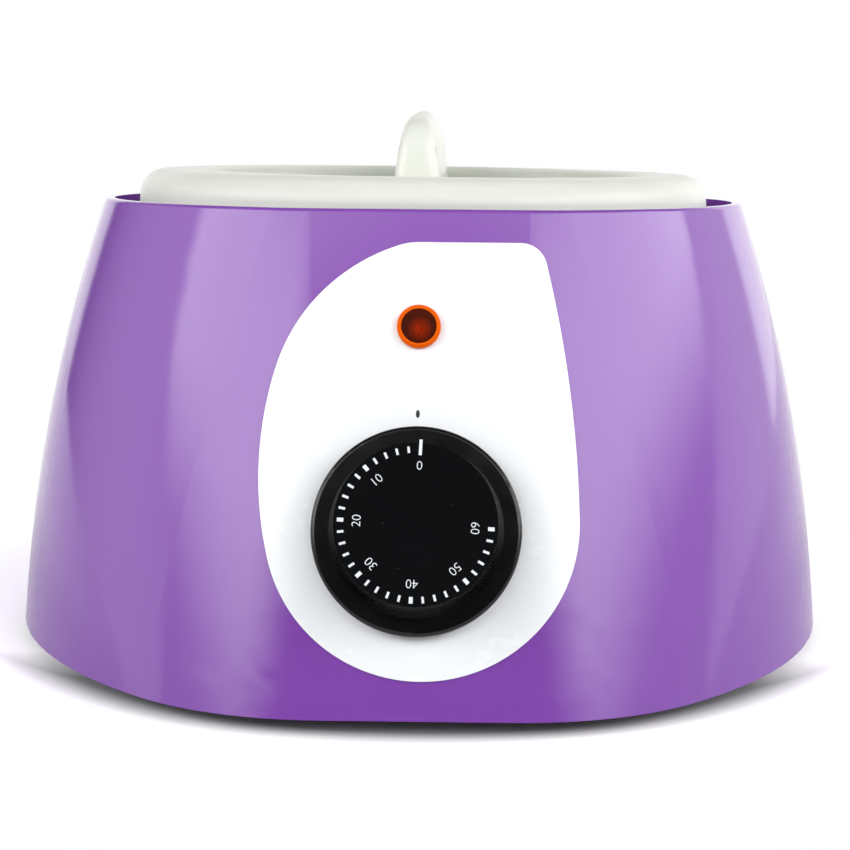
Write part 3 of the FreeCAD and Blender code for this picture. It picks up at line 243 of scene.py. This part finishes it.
def lid_plastic():
    """Satin off-white lid, a little green, with painted shade that darkens its sunk middle."""
    material = moulded("lid_plastic", (0.745, 0.765, 0.692), 0.34, grain=0.5, uneven=0.01)
    tree = material.node_tree
    shader = tree.nodes["Principled BSDF"]
    paint = shader.inputs["Base Color"].links[0].from_socket
    # Painted shade: inside the recess radius and below the crest the lid turns a darker greenish grey;
    # the fin's lower middle lies in it too
    radius, height = round_axis(tree, add(tree, "ShaderNodeTexCoord").outputs["Object"])
    sunk = spread(tree, radius, 1.0, 0.0, PAINTED_SHADE_INSIDE, PAINTED_SHADE_INSIDE_END)
    low = spread(tree, height, 1.0, 0.0, PAINTED_SHADE_BELOW, PAINTED_SHADE_BELOW_END)
    share = calculate(tree, "MULTIPLY", sunk, low)
    tree.links.new(blend_colours(tree, share, paint, (0.54, 0.56, 0.50)), shader.inputs["Base Color"])
    return material


def label_film():
    """White glossy film under a clear face."""
    return moulded("label_film", (0.93, 0.95, 0.97), 0.25, grain=0.02, uneven=0.002, coat=0.4)


def knob_plastic():
    """Black dial with a soft sheen."""
    material = moulded("knob_plastic", (0.0014, 0.0016, 0.0020), 0.16, grain=0.2, uneven=0.1)
    material.node_tree.nodes["Principled BSDF"].inputs["Specular IOR Level"].default_value = 0.4
    return material


def dial_black():
    """The dull black foil on the dial's face."""
    material = moulded("dial_black", (0.0026, 0.0028, 0.0034), 0.5, grain=0.6, uneven=0.1, dust=0.05,
                       dust_colour=(0.05, 0.05, 0.05))
    material.node_tree.nodes["Principled BSDF"].inputs["Specular IOR Level"].default_value = 0.03
    return material


def scale_ink():
    """White ink printed on the dial, thin enough to show a little of the black below."""
    return moulded("scale_ink", (0.76, 0.80, 0.84), 0.4, grain=0.6, uneven=0.05)


def index_ink():
    """Black ink of the index mark."""
    return moulded("index_ink", (0.012, 0.013, 0.014), 0.35, grain=0.3, uneven=0.1)


def lamp_orange():
    """Translucent orange plastic that carries light round the lamp's rim."""
    material = moulded("lamp_orange", (0.80, 0.115, 0.002), 0.22, grain=0.2, uneven=0.04)
    shader = material.node_tree.nodes["Principled BSDF"]
    shader.inputs["Specular IOR Level"].default_value = 0.03
    shader.inputs["Subsurface Weight"].default_value = 0.1
    shader.inputs["Subsurface Radius"].default_value = (0.0012, 0.0004, 0.0001)
    return material


def lens_red():
    """Dark red-brown lens, with a dull red glow where the lamp's bulb lies behind it."""
    material, tree, shader, place = start_material("lens_red")
    away = add(tree, "ShaderNodeVectorMath", operation="DISTANCE")
    tree.links.new(place, away.inputs[0])
    away.inputs[1].default_value = GLOW_PLACE
    glow = spread(tree, away.outputs["Value"], 1, 0, GLOW_CORE, GLOW_END)
    paint = blend_colours(tree, glow, (0.080, 0.010, 0.003), (0.42, 0.024, 0.0005))
    streaks = noise(tree, place, 1800, 3)
    paint = blend_colours(tree, spread(tree, streaks, 0, 0.5), paint, (0.03, 0.008, 0.005))
    tree.links.new(paint, shader.inputs["Base Color"])
    tree.links.new(bump(tree, streaks, 0.05 * MM), shader.inputs["Normal"])
    shader.inputs["Roughness"].default_value = 0.22
    shader.inputs["Specular IOR Level"].default_value = 0.01
    return material


def black_plastic():
    return moulded("black_plastic", (0.018, 0.018, 0.019), 0.42, grain=1.0, uneven=0.12)


def inner_plastic():
    return moulded("inner_plastic", (0.62, 0.60, 0.54), 0.45, grain=1.0, uneven=0.05)


def foot_rubber():
    return moulded("foot_rubber", (0.022, 0.022, 0.023), 0.72, grain=2.5, uneven=0.2)


def silicone():
    return moulded("silicone", (0.62, 0.20, 0.12), 0.5, grain=1.0, uneven=0.08)


def mica():
    return cast_metal("mica", (0.48, 0.42, 0.30), 0.35, grain=0.03, scale=420)


def glass_fibre():
    """Pale quilted glass fibre with coarse tangled threads."""
    return moulded("glass_fibre", (0.72, 0.71, 0.64), 0.9, grain=9.0, uneven=0.2)


FINISHES = {
    "violet": violet_plastic(),
    "lid": lid_plastic(),
    "label": label_film(),
    "knob": knob_plastic(),
    "dial": dial_black(),
    "ink": scale_ink(),
    "index": index_ink(),
    "orange": lamp_orange(),
    "lens": lens_red(),
    "black": black_plastic(),
    "inner": inner_plastic(),
    "rubber": foot_rubber(),
    "silicone": silicone(),
    "mica": mica(),
    "fibre": glass_fibre(),
    "bowl": turned_metal("bowl_steel", (0.72, 0.72, 0.71), 0.22),
    "well": turned_metal("well_aluminium", (0.66, 0.67, 0.68), 0.35),
    "zinc": cast_metal("zinc_plate", (0.58, 0.58, 0.56), 0.32),
    "base": cast_metal("base_steel", (0.34, 0.34, 0.35), 0.45),
    "copper": cast_metal("copper", (0.72, 0.38, 0.24), 0.3),
}

NODE_FINISH = {
    "outer_shell": "violet",
    "front_label": "label",
    "lid": "lid",
    "lid_handle": "lid",
    "lid_skirt": "lid",
    "melting_bowl": "bowl",
    "heating_well": "well",
    "control_knob": "knob",
    "pilot_lamp_ring": "orange",
    "pilot_lamp_lens": "lens",
    "pilot_lamp_body": "inner",
    "base_plate": "base",
    "rubber_feet": "rubber",
    "well_gasket": "silicone",
    "live_lead": "silicone",
    "neutral_lead": "silicone",
    "insulation_wrap": "fibre",
    "heater_disc": "mica",
    "terminal_block": "inner",
    "thermostat_body": "inner",
    "capillary_tube": "copper",
    "sensor_bulb": "copper",
    "cord_gland": "black",
    "gland_dome_nut": "black",
    "gland_locknut": "black",
}


def dress_nodes():
    """Gives every CAD node its finish; what is not named is plated steel."""
    for name, node in nodes.items():
        finish = FINISHES[NODE_FINISH.get(name, "zinc")]
        node.data.materials.clear()
        node.data.materials.append(finish)


# The dial's printed scale

SCALE_TURN = math.radians(270)
SCALE_END = 60
SCALE_STEP = 2
NUMBER_STEP = 10
ZERO_ANGLE = math.radians(87)
TICK_OUTER = 18.05 * MM
TICK_LENGTH = 1.5 * MM
TICK_WIDTH = 0.58 * MM
MAJOR_WIDTH = 0.9 * MM
ZERO_OUTER = 19.6 * MM
ZERO_LENGTH = 3.6 * MM
ZERO_WIDTH = 0.72 * MM
NUMBER_RADIUS = 13.5 * MM
NUMBER_SIZE = 2.95 * MM
NUMBER_THINNED = 0.035 * MM
INK = 0.03 * MM
FOIL = 0.03 * MM
FOIL_RADIUS = 18.9 * MM
FOIL_SIDES = 96


def scale_angle(value):
    return ZERO_ANGLE + SCALE_TURN * value / SCALE_END


def smooth(item):
    for polygon in item.data.polygons:
        polygon.use_smooth = True
    return item


def mesh_piece(name, vertices, faces, matrix, finish):
    mesh = bpy.data.meshes.new(name)
    mesh.from_pydata(vertices, [], faces)
    mesh.materials.append(FINISHES[finish])
    item = bpy.data.objects.new(name, mesh)
    bpy.context.scene.collection.objects.link(item)
    item.matrix_world = matrix
    return item


def dial_ticks(face):
    """All the marks of the scale as thin inked bars."""
    vertices = []
    faces = []
    for value in range(0, SCALE_END + 1, SCALE_STEP):
        outer = ZERO_OUTER if value == 0 else TICK_OUTER
        length = ZERO_LENGTH if value == 0 else TICK_LENGTH
        width = TICK_WIDTH if value % NUMBER_STEP else MAJOR_WIDTH
        if value == 0:
            width = ZERO_WIDTH
        angle = scale_angle(value)
        along = Vector((math.cos(angle), math.sin(angle), 0))
        side = Vector((-along.y, along.x, 0)) * (width / 2)
        first = len(vertices)
        for height in (0, INK):
            lift = Vector((0, 0, height))
            near = along * (outer - length) + lift
            far = along * outer + lift
            vertices += [near - side, far - side, far + side, near + side]
        faces.append([first + corner for corner in (4, 5, 6, 7)])
        for corner in range(4):
            following = (corner + 1) % 4
            faces.append([first + corner, first + following, first + 4 + following, first + 4 + corner])
    return mesh_piece("dial_ticks", vertices, faces, on_front(out=face), "ink")


def dial_number(value, face):
    """One number of the scale, its top towards the rim."""
    text = bpy.data.curves.new("dial_number_%d" % value, "FONT")
    text.body = str(value)
    text.size = NUMBER_SIZE
    text.align_x = "CENTER"
    text.align_y = "CENTER"
    text.extrude = INK / 2
    text.offset = -NUMBER_THINNED
    text.materials.append(FINISHES["ink"])
    item = bpy.data.objects.new(text.name, text)
    bpy.context.scene.collection.objects.link(item)
    angle = scale_angle(value)
    place = on_front(NUMBER_RADIUS * math.cos(angle), NUMBER_RADIUS * math.sin(angle), face + INK / 2)
    item.matrix_world = place @ Matrix.Rotation(angle - math.pi / 2, 4, "Z")
    return item


def dial_foil(face):
    """The thin black disc that carries the print, a little inside the grip's edge."""
    angles = [2 * math.pi * index / FOIL_SIDES for index in range(FOIL_SIDES)]
    rim = [Vector((FOIL_RADIUS * math.cos(angle), FOIL_RADIUS * math.sin(angle), 0)) for angle in angles]
    vertices = rim + [point + Vector((0, 0, FOIL)) for point in rim]
    faces = [list(range(FOIL_SIDES, 2 * FOIL_SIDES))]
    for corner in range(FOIL_SIDES):
        following = (corner + 1) % FOIL_SIDES
        faces.append([corner, following, FOIL_SIDES + following, FOIL_SIDES + corner])
    return mesh_piece("dial_foil", vertices, faces, on_front(out=face), "dial")


def dial_print():
    face = stands_out("control_knob")
    foil = dial_foil(face)
    face += FOIL
    pieces = [foil, dial_ticks(face)]
    pieces += [dial_number(value, face) for value in range(0, SCALE_END + 1, NUMBER_STEP)]
    for item in pieces:
        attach(item, "knob")


# The index mark on the label

INDEX_UP = 28.6 * MM
INDEX_WIDTH = 0.95 * MM
INDEX_HEIGHT = 1.9 * MM
INDEX_SIDES = 32


def index_mark():
    """A small upright ellipse of black ink above the dial."""
    count = INDEX_SIDES
    angles = [2 * math.pi * index / count for index in range(count)]
    rim = [Vector((INDEX_WIDTH / 2 * math.cos(a), INDEX_HEIGHT / 2 * math.sin(a), 0)) for a in angles]
    vertices = rim + [point + Vector((0, 0, INK)) for point in rim]
    faces = [list(range(count, 2 * count))]
    faces += [[i, (i + 1) % count, count + (i + 1) % count, count + i] for i in range(count)]
    place = on_front(up=INDEX_UP, out=stands_out("front_label"))
    item = mesh_piece("index_mark", vertices, faces, place, "index")
    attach(item, "housing")


# The pilot lamp's lens

LENS_RADIUS = 4.25 * MM
LENS_FLAT = 4.0 * MM
LENS_RIB = 0.55 * MM
LENS_RIB_DEPTH = 0.12 * MM
LENS_DOME = 0.35 * MM
LENS_CAP = 2.1 * MM
LENS_COLUMNS = 60
LENS_ROWS = 40


def lamp_lens():
    """The ribbed lens: flat sides, upright ribs below and a plain cap above."""
    columns = LENS_COLUMNS
    rows = LENS_ROWS
    vertices = []
    for row in range(rows + 1):
        y = LENS_RADIUS * (2 * row / rows - 1)
        half = min(LENS_FLAT, math.sqrt(max(LENS_RADIUS ** 2 - y ** 2, 0.0)))
        for column in range(columns + 1):
            x = half * (2 * column / columns - 1)
            reach = (x * x + y * y) / LENS_RADIUS ** 2
            height = LENS_DOME * (1 - reach)
            if y < LENS_CAP:
                height += LENS_RIB_DEPTH * math.cos(2 * math.pi * x / LENS_RIB) - LENS_RIB_DEPTH
            vertices.append((x, y, height))
    faces = []
    for row in range(rows):
        for column in range(columns):
            first = row * (columns + 1) + column
            faces.append([first, first + 1, first + columns + 2, first + columns + 1])
    out = stands_out("pilot_lamp_lens") + 2 * LENS_RIB_DEPTH
    place = on_front(up=middle_up("pilot_lamp_lens"), out=out)
    item = smooth(mesh_piece("lamp_lens", vertices, faces, place, "lens"))
    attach(item, "housing")


# The lid and its fin, as they rest: not quite level in the housing's mouth

LID_LEAN = 0.0067
LID_ROLL = 0.005
LID_DROP = -0.5 * MM
LID_CREST = 130.6 * MM
LID_FLOOR = 118.6 * MM
LID_FOOT = 116.4 * MM
LID_REACH = 81.9 * MM
LID_CROWN = 80.6 * MM
LID_SHOULDER = 7.0 * MM
LID_RECESS = 61.5 * MM
LID_EDGE = 3.6 * MM
LID_HOLLOW = 2.5 * MM
LID_SIDES = 160
ARC_STEPS = 8
HOLD = 0.12 * MM


def lid_place():
    lean = Matrix.Rotation(LID_LEAN, 4, "X") @ Matrix.Rotation(LID_ROLL, 4, "Y")
    to_crest = Matrix.Translation((0, 0, -LID_CREST))
    return Matrix.Translation((0, 0, LID_CREST + LID_DROP)) @ lean @ to_crest


def rounded_outline(corners):
    """A closed outline from (x, z, radius) corners, each rounded and held by two close points."""
    points = []
    count = len(corners)
    for index, (x, z, radius) in enumerate(corners):
        here = Vector((x, z))
        if not radius:
            points.append(here)
            continue
        into = (Vector(corners[index - 1][:2]) - here).normalized()
        onward = (Vector(corners[(index + 1) % count][:2]) - here).normalized()
        half = into.angle(onward) / 2
        back = radius / math.tan(half)
        centre = here + (into + onward).normalized() * (radius / math.sin(half))
        start = here + into * back - centre
        end = here + onward * back - centre
        turn = start.angle_signed(end)
        points.append(centre + start + into * HOLD)
        for step in range(ARC_STEPS + 1):
            points.append(centre + Matrix.Rotation(-turn * step / ARC_STEPS, 2) @ start)
        points.append(centre + end + onward * HOLD)
    return points


def lid_shell():
    """The lid turned from one outline: raised ring, sunk middle and the hollow below."""
    inner = LID_RECESS + LID_HOLLOW
    outline = rounded_outline([
        (0, LID_FLOOR, 0),
        (LID_RECESS, LID_FLOOR, 1.5 * MM),
        (LID_RECESS, LID_CREST, LID_EDGE),
        (LID_CROWN, LID_CREST, LID_SHOULDER),
        (LID_REACH, LID_FOOT, 0.5 * MM),
        (LID_REACH - LID_HOLLOW, LID_FOOT, 0.3 * MM),
        (LID_CROWN - LID_HOLLOW, LID_CREST - LID_HOLLOW, 4.0 * MM),
        (inner, LID_CREST - LID_HOLLOW, 1.5 * MM),
        (inner, LID_FLOOR - LID_HOLLOW, 1.5 * MM),
        (0, LID_FLOOR - LID_HOLLOW, 0),
    ])
    rings = outline[1:-1]
    vertices = [(0, 0, outline[0].y), (0, 0, outline[-1].y)]
    for side in range(LID_SIDES):
        angle = 2 * math.pi * side / LID_SIDES
        vertices += [(point.x * math.cos(angle), point.x * math.sin(angle), point.y) for point in rings]
    faces = []
    for side in range(LID_SIDES):
        first = 2 + side * len(rings)
        following = 2 + (side + 1) % LID_SIDES * len(rings)
        faces.append([0, first, following])
        faces.append([1, following + len(rings) - 1, first + len(rings) - 1])
        for step in range(len(rings) - 1):
            faces.append([first + step, first + step + 1, following + step + 1, following + step])
    item = smooth(mesh_piece("lid_shell", vertices, faces, lid_place(), "lid"))
    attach(item, "lid")
    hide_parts("lid")


# The fin, measured from the lid's axis and from the table

FIN_TOP = 147.7 * MM
FIN_ARCH = 2.8 * MM
FIN_NOSE = 9.0 * MM
FIN_END = 67.0 * MM
FIN_LEAN = 5.5 * MM
FIN_CROWN = 3.75 * MM
FIN_FLARE = 0.12
FIN_EDGE = 2.6 * MM
FIN_TURN = math.radians(-1.1)
FIN_FOOT_SHARE = 0.8
FIN_ROWS = 8
FIN_ARCH_STEPS = 28
FIN_ARCH_ENDS = 3
FIN_SPACING = 3 * MM


def fin_half_width(height):
    return FIN_CROWN + FIN_FLARE * (FIN_TOP - height)


def fin_outline():
    """The fin's outline from the side, as points (along, height), from the near foot to the far one."""
    top_end = FIN_END - FIN_LEAN
    steps = FIN_ARCH_STEPS
    corner = (top_end, FIN_TOP - FIN_ARCH)
    arch = [(x, FIN_TOP - FIN_ARCH * (x / top_end) ** 2)
            for x in (top_end * (1 - 2 * step / steps) for step in range(1, steps))]
    outline = rounded_outline([(-FIN_END, LID_FLOOR, 0), (-corner[0], corner[1], FIN_NOSE)]
                              + [(-x, z, 0) for x, z in arch[FIN_ARCH_ENDS:-FIN_ARCH_ENDS]]
                              + [(corner[0], corner[1], FIN_NOSE), (FIN_END, LID_FLOOR, 0)])
    points = []
    for first, second in zip(outline, outline[1:]):
        pieces = max(1, round((second - first).length / FIN_SPACING))
        points += [first.lerp(second, piece / pieces) for piece in range(pieces)]
    return points + [outline[-1]]


def lid_fin():
    """The handle: an arched fin with rounded ends, a full crown and sides that flare to the foot."""
    outline = fin_outline()
    last = len(outline) - 1
    ribs = []
    for index, point in enumerate(outline):
        along = (outline[min(index + 1, last)] - outline[max(index - 1, 0)]).normalized()
        inward = Vector((along.y, -along.x))
        width = fin_half_width(point.y)
        share = max(0.0, min(1.0, (point.y - LID_CREST) / (FIN_TOP - LID_CREST)))
        edge = FIN_EDGE + (FIN_CROWN - FIN_EDGE) * share
        side = []
        for step in range(ARC_STEPS + 1):
            angle = math.pi / 2 * step / ARC_STEPS
            place = point + inward * edge * (1 - math.cos(angle))
            side.append((width - edge + edge * math.sin(angle), place))
        foot = Vector((point.x * FIN_FOOT_SHARE, LID_FLOOR))
        rim = side[-1][1]
        for step in range(1, FIN_ROWS + 1):
            place = rim.lerp(foot, step / FIN_ROWS)
            side.append((fin_half_width(place.y), place))
        left = [(-x, place.x, place.y) for x, place in reversed(side)]
        right = [(x, place.x, place.y) for x, place in side]
        ribs.append(left + right)
    count = len(ribs[0])
    vertices = [corner for rib in ribs for corner in rib]
    faces = []
    for index in range(last):
        for step in range(count - 1):
            first = index * count + step
            faces.append([first, first + count, first + count + 1, first + 1])
    place = lid_place() @ Matrix.Rotation(FIN_TURN, 4, "Z")
    item = smooth(mesh_piece("lid_fin", vertices, faces, place, "lid"))
    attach(item, "lid")
    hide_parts("lid_handle")


# Studio

CAMERA_DISTANCE = 0.550
CAMERA_HEIGHT = 0.139
CAMERA_PITCH = math.radians(8.62)
CAMERA_ROLL = math.radians(0.53)
CAMERA_LENS = 79.65
CAMERA_SENSOR = 36
CAMERA_SHIFT = 0.0087
CAMERA_ASIDE = 0.0045
CAMERA_YAW = math.radians(0.58)


def camera():
    data = bpy.data.cameras.new("camera")
    data.lens = CAMERA_LENS
    data.sensor_width = CAMERA_SENSOR
    data.shift_x = CAMERA_SHIFT
    item = bpy.data.objects.new("camera", data)
    bpy.context.scene.collection.objects.link(item)
    tilt = Matrix.Rotation(math.pi / 2 - CAMERA_PITCH, 4, "X")
    roll = Matrix.Rotation(CAMERA_ROLL, 4, "Z")
    yaw = Matrix.Rotation(CAMERA_YAW, 4, "Z")
    stand = Matrix.Translation((CAMERA_ASIDE, -CAMERA_DISTANCE, CAMERA_HEIGHT))
    item.matrix_world = stand @ yaw @ tilt @ roll
    bpy.context.scene.camera = item


# The light tent: levels, elevations and azimuths

LAMP_LEVEL = 4.65
LAMP_LOW_SHARE = 0.18
LAMP_LOW = math.radians(8)
LAMP_FULL = math.radians(20.5)
LAMP_FALL_START = math.radians(26)
LAMP_FALL_END = math.radians(48)
LAMP_ZENITH = 0.03
LAMP_AIM = math.radians(10)
LAMP_END = math.radians(96)
LAMP_END_SOFT = math.radians(4)
LAMP_END_SLOPE = 0.8
LAMP_END_LEVEL = math.radians(18)
GAP_TOP = math.radians(33)
GAP_SLOPE = 0.6
GAP_SOFT_LOW = math.radians(-5)
GAP_SOFT_HIGH = math.radians(8)
SPILL_LEVEL = 1.5
SPILL_REACH = math.radians(62)
SPILL_HIGH = math.radians(22)
SPILL_END = math.radians(40)
ROOM_LEVEL = 0.05
DROP_LEVEL = 1.1
DROP_AIM = math.radians(-4)
DROP_START = math.radians(136)
DROP_FULL = math.radians(142)
DROP_LOW = math.radians(20)
DROP_HIGH = math.radians(40)


def aside_of(tree, azimuth, aim):
    """How far an azimuth is from the aim, on either side."""
    turned = calculate(tree, "SUBTRACT", azimuth, aim)
    wrapped = add(tree, "ShaderNodeMath", operation="WRAP")
    tree.links.new(turned, wrapped.inputs[0])
    wrapped.inputs[1].default_value = math.pi
    wrapped.inputs[2].default_value = -math.pi
    return calculate(tree, "ABSOLUTE", wrapped.outputs["Value"])


def studio_light(tree):
    """How bright the light tent is, by the direction that a ray takes.

    Two broad diffusers stand at the sides, meet high above the front and leave a dark
    gap below it. Behind them the light spills a little, and a white backdrop behind
    the object gives the housing's edges their bright rims.
    """
    heading = add(tree, "ShaderNodeTexCoord").outputs["Generated"]
    axes = add(tree, "ShaderNodeSeparateXYZ")
    tree.links.new(heading, axes.inputs["Vector"])
    ahead = calculate(tree, "MULTIPLY", axes.outputs["Y"], -1.0)
    azimuth = calculate(tree, "ARCTAN2", axes.outputs["X"], ahead)
    rise = calculate(tree, "ARCSINE", axes.outputs["Z"])

    gap = calculate(tree, "MULTIPLY", calculate(tree, "ABSOLUTE", azimuth), GAP_SLOPE)
    above = calculate(tree, "SUBTRACT", calculate(tree, "ADD", rise, gap), GAP_TOP)
    lamp = spread(tree, above, 0.0, LAMP_LEVEL, GAP_SOFT_LOW, GAP_SOFT_HIGH, smooth=True)
    low = spread(tree, rise, LAMP_LOW_SHARE, 1.0, LAMP_LOW, LAMP_FULL, smooth=True)
    lamp = calculate(tree, "MULTIPLY", lamp, low)
    fall = spread(tree, rise, 1.0, LAMP_ZENITH, LAMP_FALL_START, LAMP_FALL_END, smooth=True)
    lamp = calculate(tree, "MULTIPLY", lamp, fall)

    aside = aside_of(tree, azimuth, LAMP_AIM)
    below = calculate(tree, "MAXIMUM", calculate(tree, "SUBTRACT", LAMP_END_LEVEL, rise), 0.0)
    beyond = calculate(tree, "ADD", aside, calculate(tree, "MULTIPLY", below, LAMP_END_SLOPE))
    inside = spread(tree, beyond, 1.0, 0.0, LAMP_END, LAMP_END + LAMP_END_SOFT, smooth=True)
    lamp = calculate(tree, "MULTIPLY", lamp, inside)
    spill = spread(tree, aside, SPILL_LEVEL, 0.0, LAMP_END, LAMP_END + SPILL_REACH, smooth=True)
    spill_low = spread(tree, rise, 1.0, 0.0, SPILL_HIGH, SPILL_END, smooth=True)
    spill = calculate(tree, "MULTIPLY", spill, spill_low)
    spill = calculate(tree, "MULTIPLY", spill, calculate(tree, "SUBTRACT", 1.0, inside))

    drop_aside = aside_of(tree, azimuth, DROP_AIM)
    drop = spread(tree, drop_aside, 0.0, DROP_LEVEL, DROP_START, DROP_FULL, smooth=True)
    drop = calculate(tree, "MULTIPLY", drop, spread(tree, rise, 1.0, 0.0, DROP_LOW, DROP_HIGH))
    lamps = calculate(tree, "ADD", lamp, spill)
    return calculate(tree, "ADD", lamps, calculate(tree, "ADD", drop, ROOM_LEVEL))


def studio_world():
    """White to the eye; everything else sees the light tent."""
    world = bpy.data.worlds.new("studio")
    bpy.context.scene.world = world
    world.use_nodes = True
    tree = world.node_tree
    background = tree.nodes["Background"]
    seen = light_path(tree, "Is Camera Ray", "Is Transmission Ray")
    lit = calculate(tree, "MULTIPLY", studio_light(tree), calculate(tree, "SUBTRACT", 1.0, seen))
    tree.links.new(calculate(tree, "ADD", lit, seen), background.inputs["Strength"])
    background.inputs["Color"].default_value = (1, 1, 1, 1)


# The white table: tones, and radii round the housing where they change

FLOOR_HALF = 3.0
# FLOOR_SHADE with the SHADE_ radii and limits: a painted shadow on the table, seen by the camera, under
# the housing's front
FLOOR_SHADE = 0.40
FLOOR_WHITE = 1.7
SHADE_CENTRE = -0.006
SHADE_START = 0.114
SHADE_END = 0.126
SHADE_BACK = -0.052
SHADE_FRONT = -0.078
# Painted shade in the light bounced off the table: dark near the housing, pale further out
FLOOR_DARK = 0.40
FLOOR_PALE = 1.0
PALE_START = 0.14
PALE_END = 0.36
FLOOR_SHEEN = 1.10
FLOOR_NEAR = 0.150
FLOOR_FAR = 0.200


def floor():
    """A white table, overexposed to the eye, that keeps the real shadow under the housing and has a
    painted shadow added under its front.
    """
    half = FLOOR_HALF
    corners = [(-half, -half, 0), (half, -half, 0), (half, half, 0), (-half, half, 0)]
    mesh = bpy.data.meshes.new("floor")
    mesh.from_pydata(corners, [], [[0, 1, 2, 3]])
    material, tree, shader, place = start_material("table_white")
    tree.nodes.remove(shader)
    table = add(tree, "ShaderNodeBsdfDiffuse")
    looked_at = light_path(tree, "Is Camera Ray", "Is Transmission Ray")
    mirrored = light_path(tree, "Is Glossy Ray")
    away = add(tree, "ShaderNodeVectorMath", operation="DISTANCE")
    tree.links.new(place, away.inputs[0])
    away.inputs[1].default_value = (0, SHADE_CENTRE, 0)
    distance = away.outputs["Value"]
    # Painted shade: light bounced from the table is painted darker near the housing (FLOOR_DARK) and
    # paler further out (FLOOR_PALE)
    pale = spread(tree, distance, 0.0, 1.0, PALE_START, PALE_END)
    bounced = blend_colours(tree, pale, (FLOOR_DARK,) * 3, (FLOOR_PALE,) * 3)
    colour = blend_colours(tree, mirrored, bounced, (FLOOR_SHEEN,) * 3)
    axes = add(tree, "ShaderNodeSeparateXYZ")
    tree.links.new(place, axes.inputs["Vector"])
    # Painted shadow: to the camera the table is painted dark (FLOOR_SHADE) under the front of the
    # housing and a little past its front edge
    behind = spread(tree, axes.outputs["Y"], 0.0, 1.0, SHADE_FRONT, SHADE_BACK)
    outside = spread(tree, distance, 0.0, 1.0, SHADE_START, SHADE_END)
    shade = calculate(tree, "MAXIMUM", behind, outside)
    seen = blend_colours(tree, shade, (FLOOR_SHADE,) * 3, (FLOOR_WHITE,) * 3)
    tree.links.new(blend_colours(tree, looked_at, colour, seen), table.inputs["Color"])
    far = spread(tree, distance, 0.0, 1.0, FLOOR_NEAR, FLOOR_FAR)
    white = add(tree, "ShaderNodeEmission", {"Color": (1, 1, 1, 1), "Strength": 1.0})
    mix = add(tree, "ShaderNodeMixShader")
    tree.links.new(calculate(tree, "MULTIPLY", looked_at, far), mix.inputs["Fac"])
    tree.links.new(table.outputs["BSDF"], mix.inputs[1])
    tree.links.new(white.outputs["Emission"], mix.inputs[2])
    tree.links.new(mix.outputs["Shader"], tree.nodes["Material Output"].inputs["Surface"])
    mesh.materials.append(material)
    item = bpy.data.objects.new("floor", mesh)
    bpy.context.scene.collection.objects.link(item)


dress_nodes()
dial_print()
index_mark()
lamp_lens()
lid_shell()
lid_fin()
camera()
studio_world()
floor()

bpy.context.scene.view_settings.view_transform = "Standard"
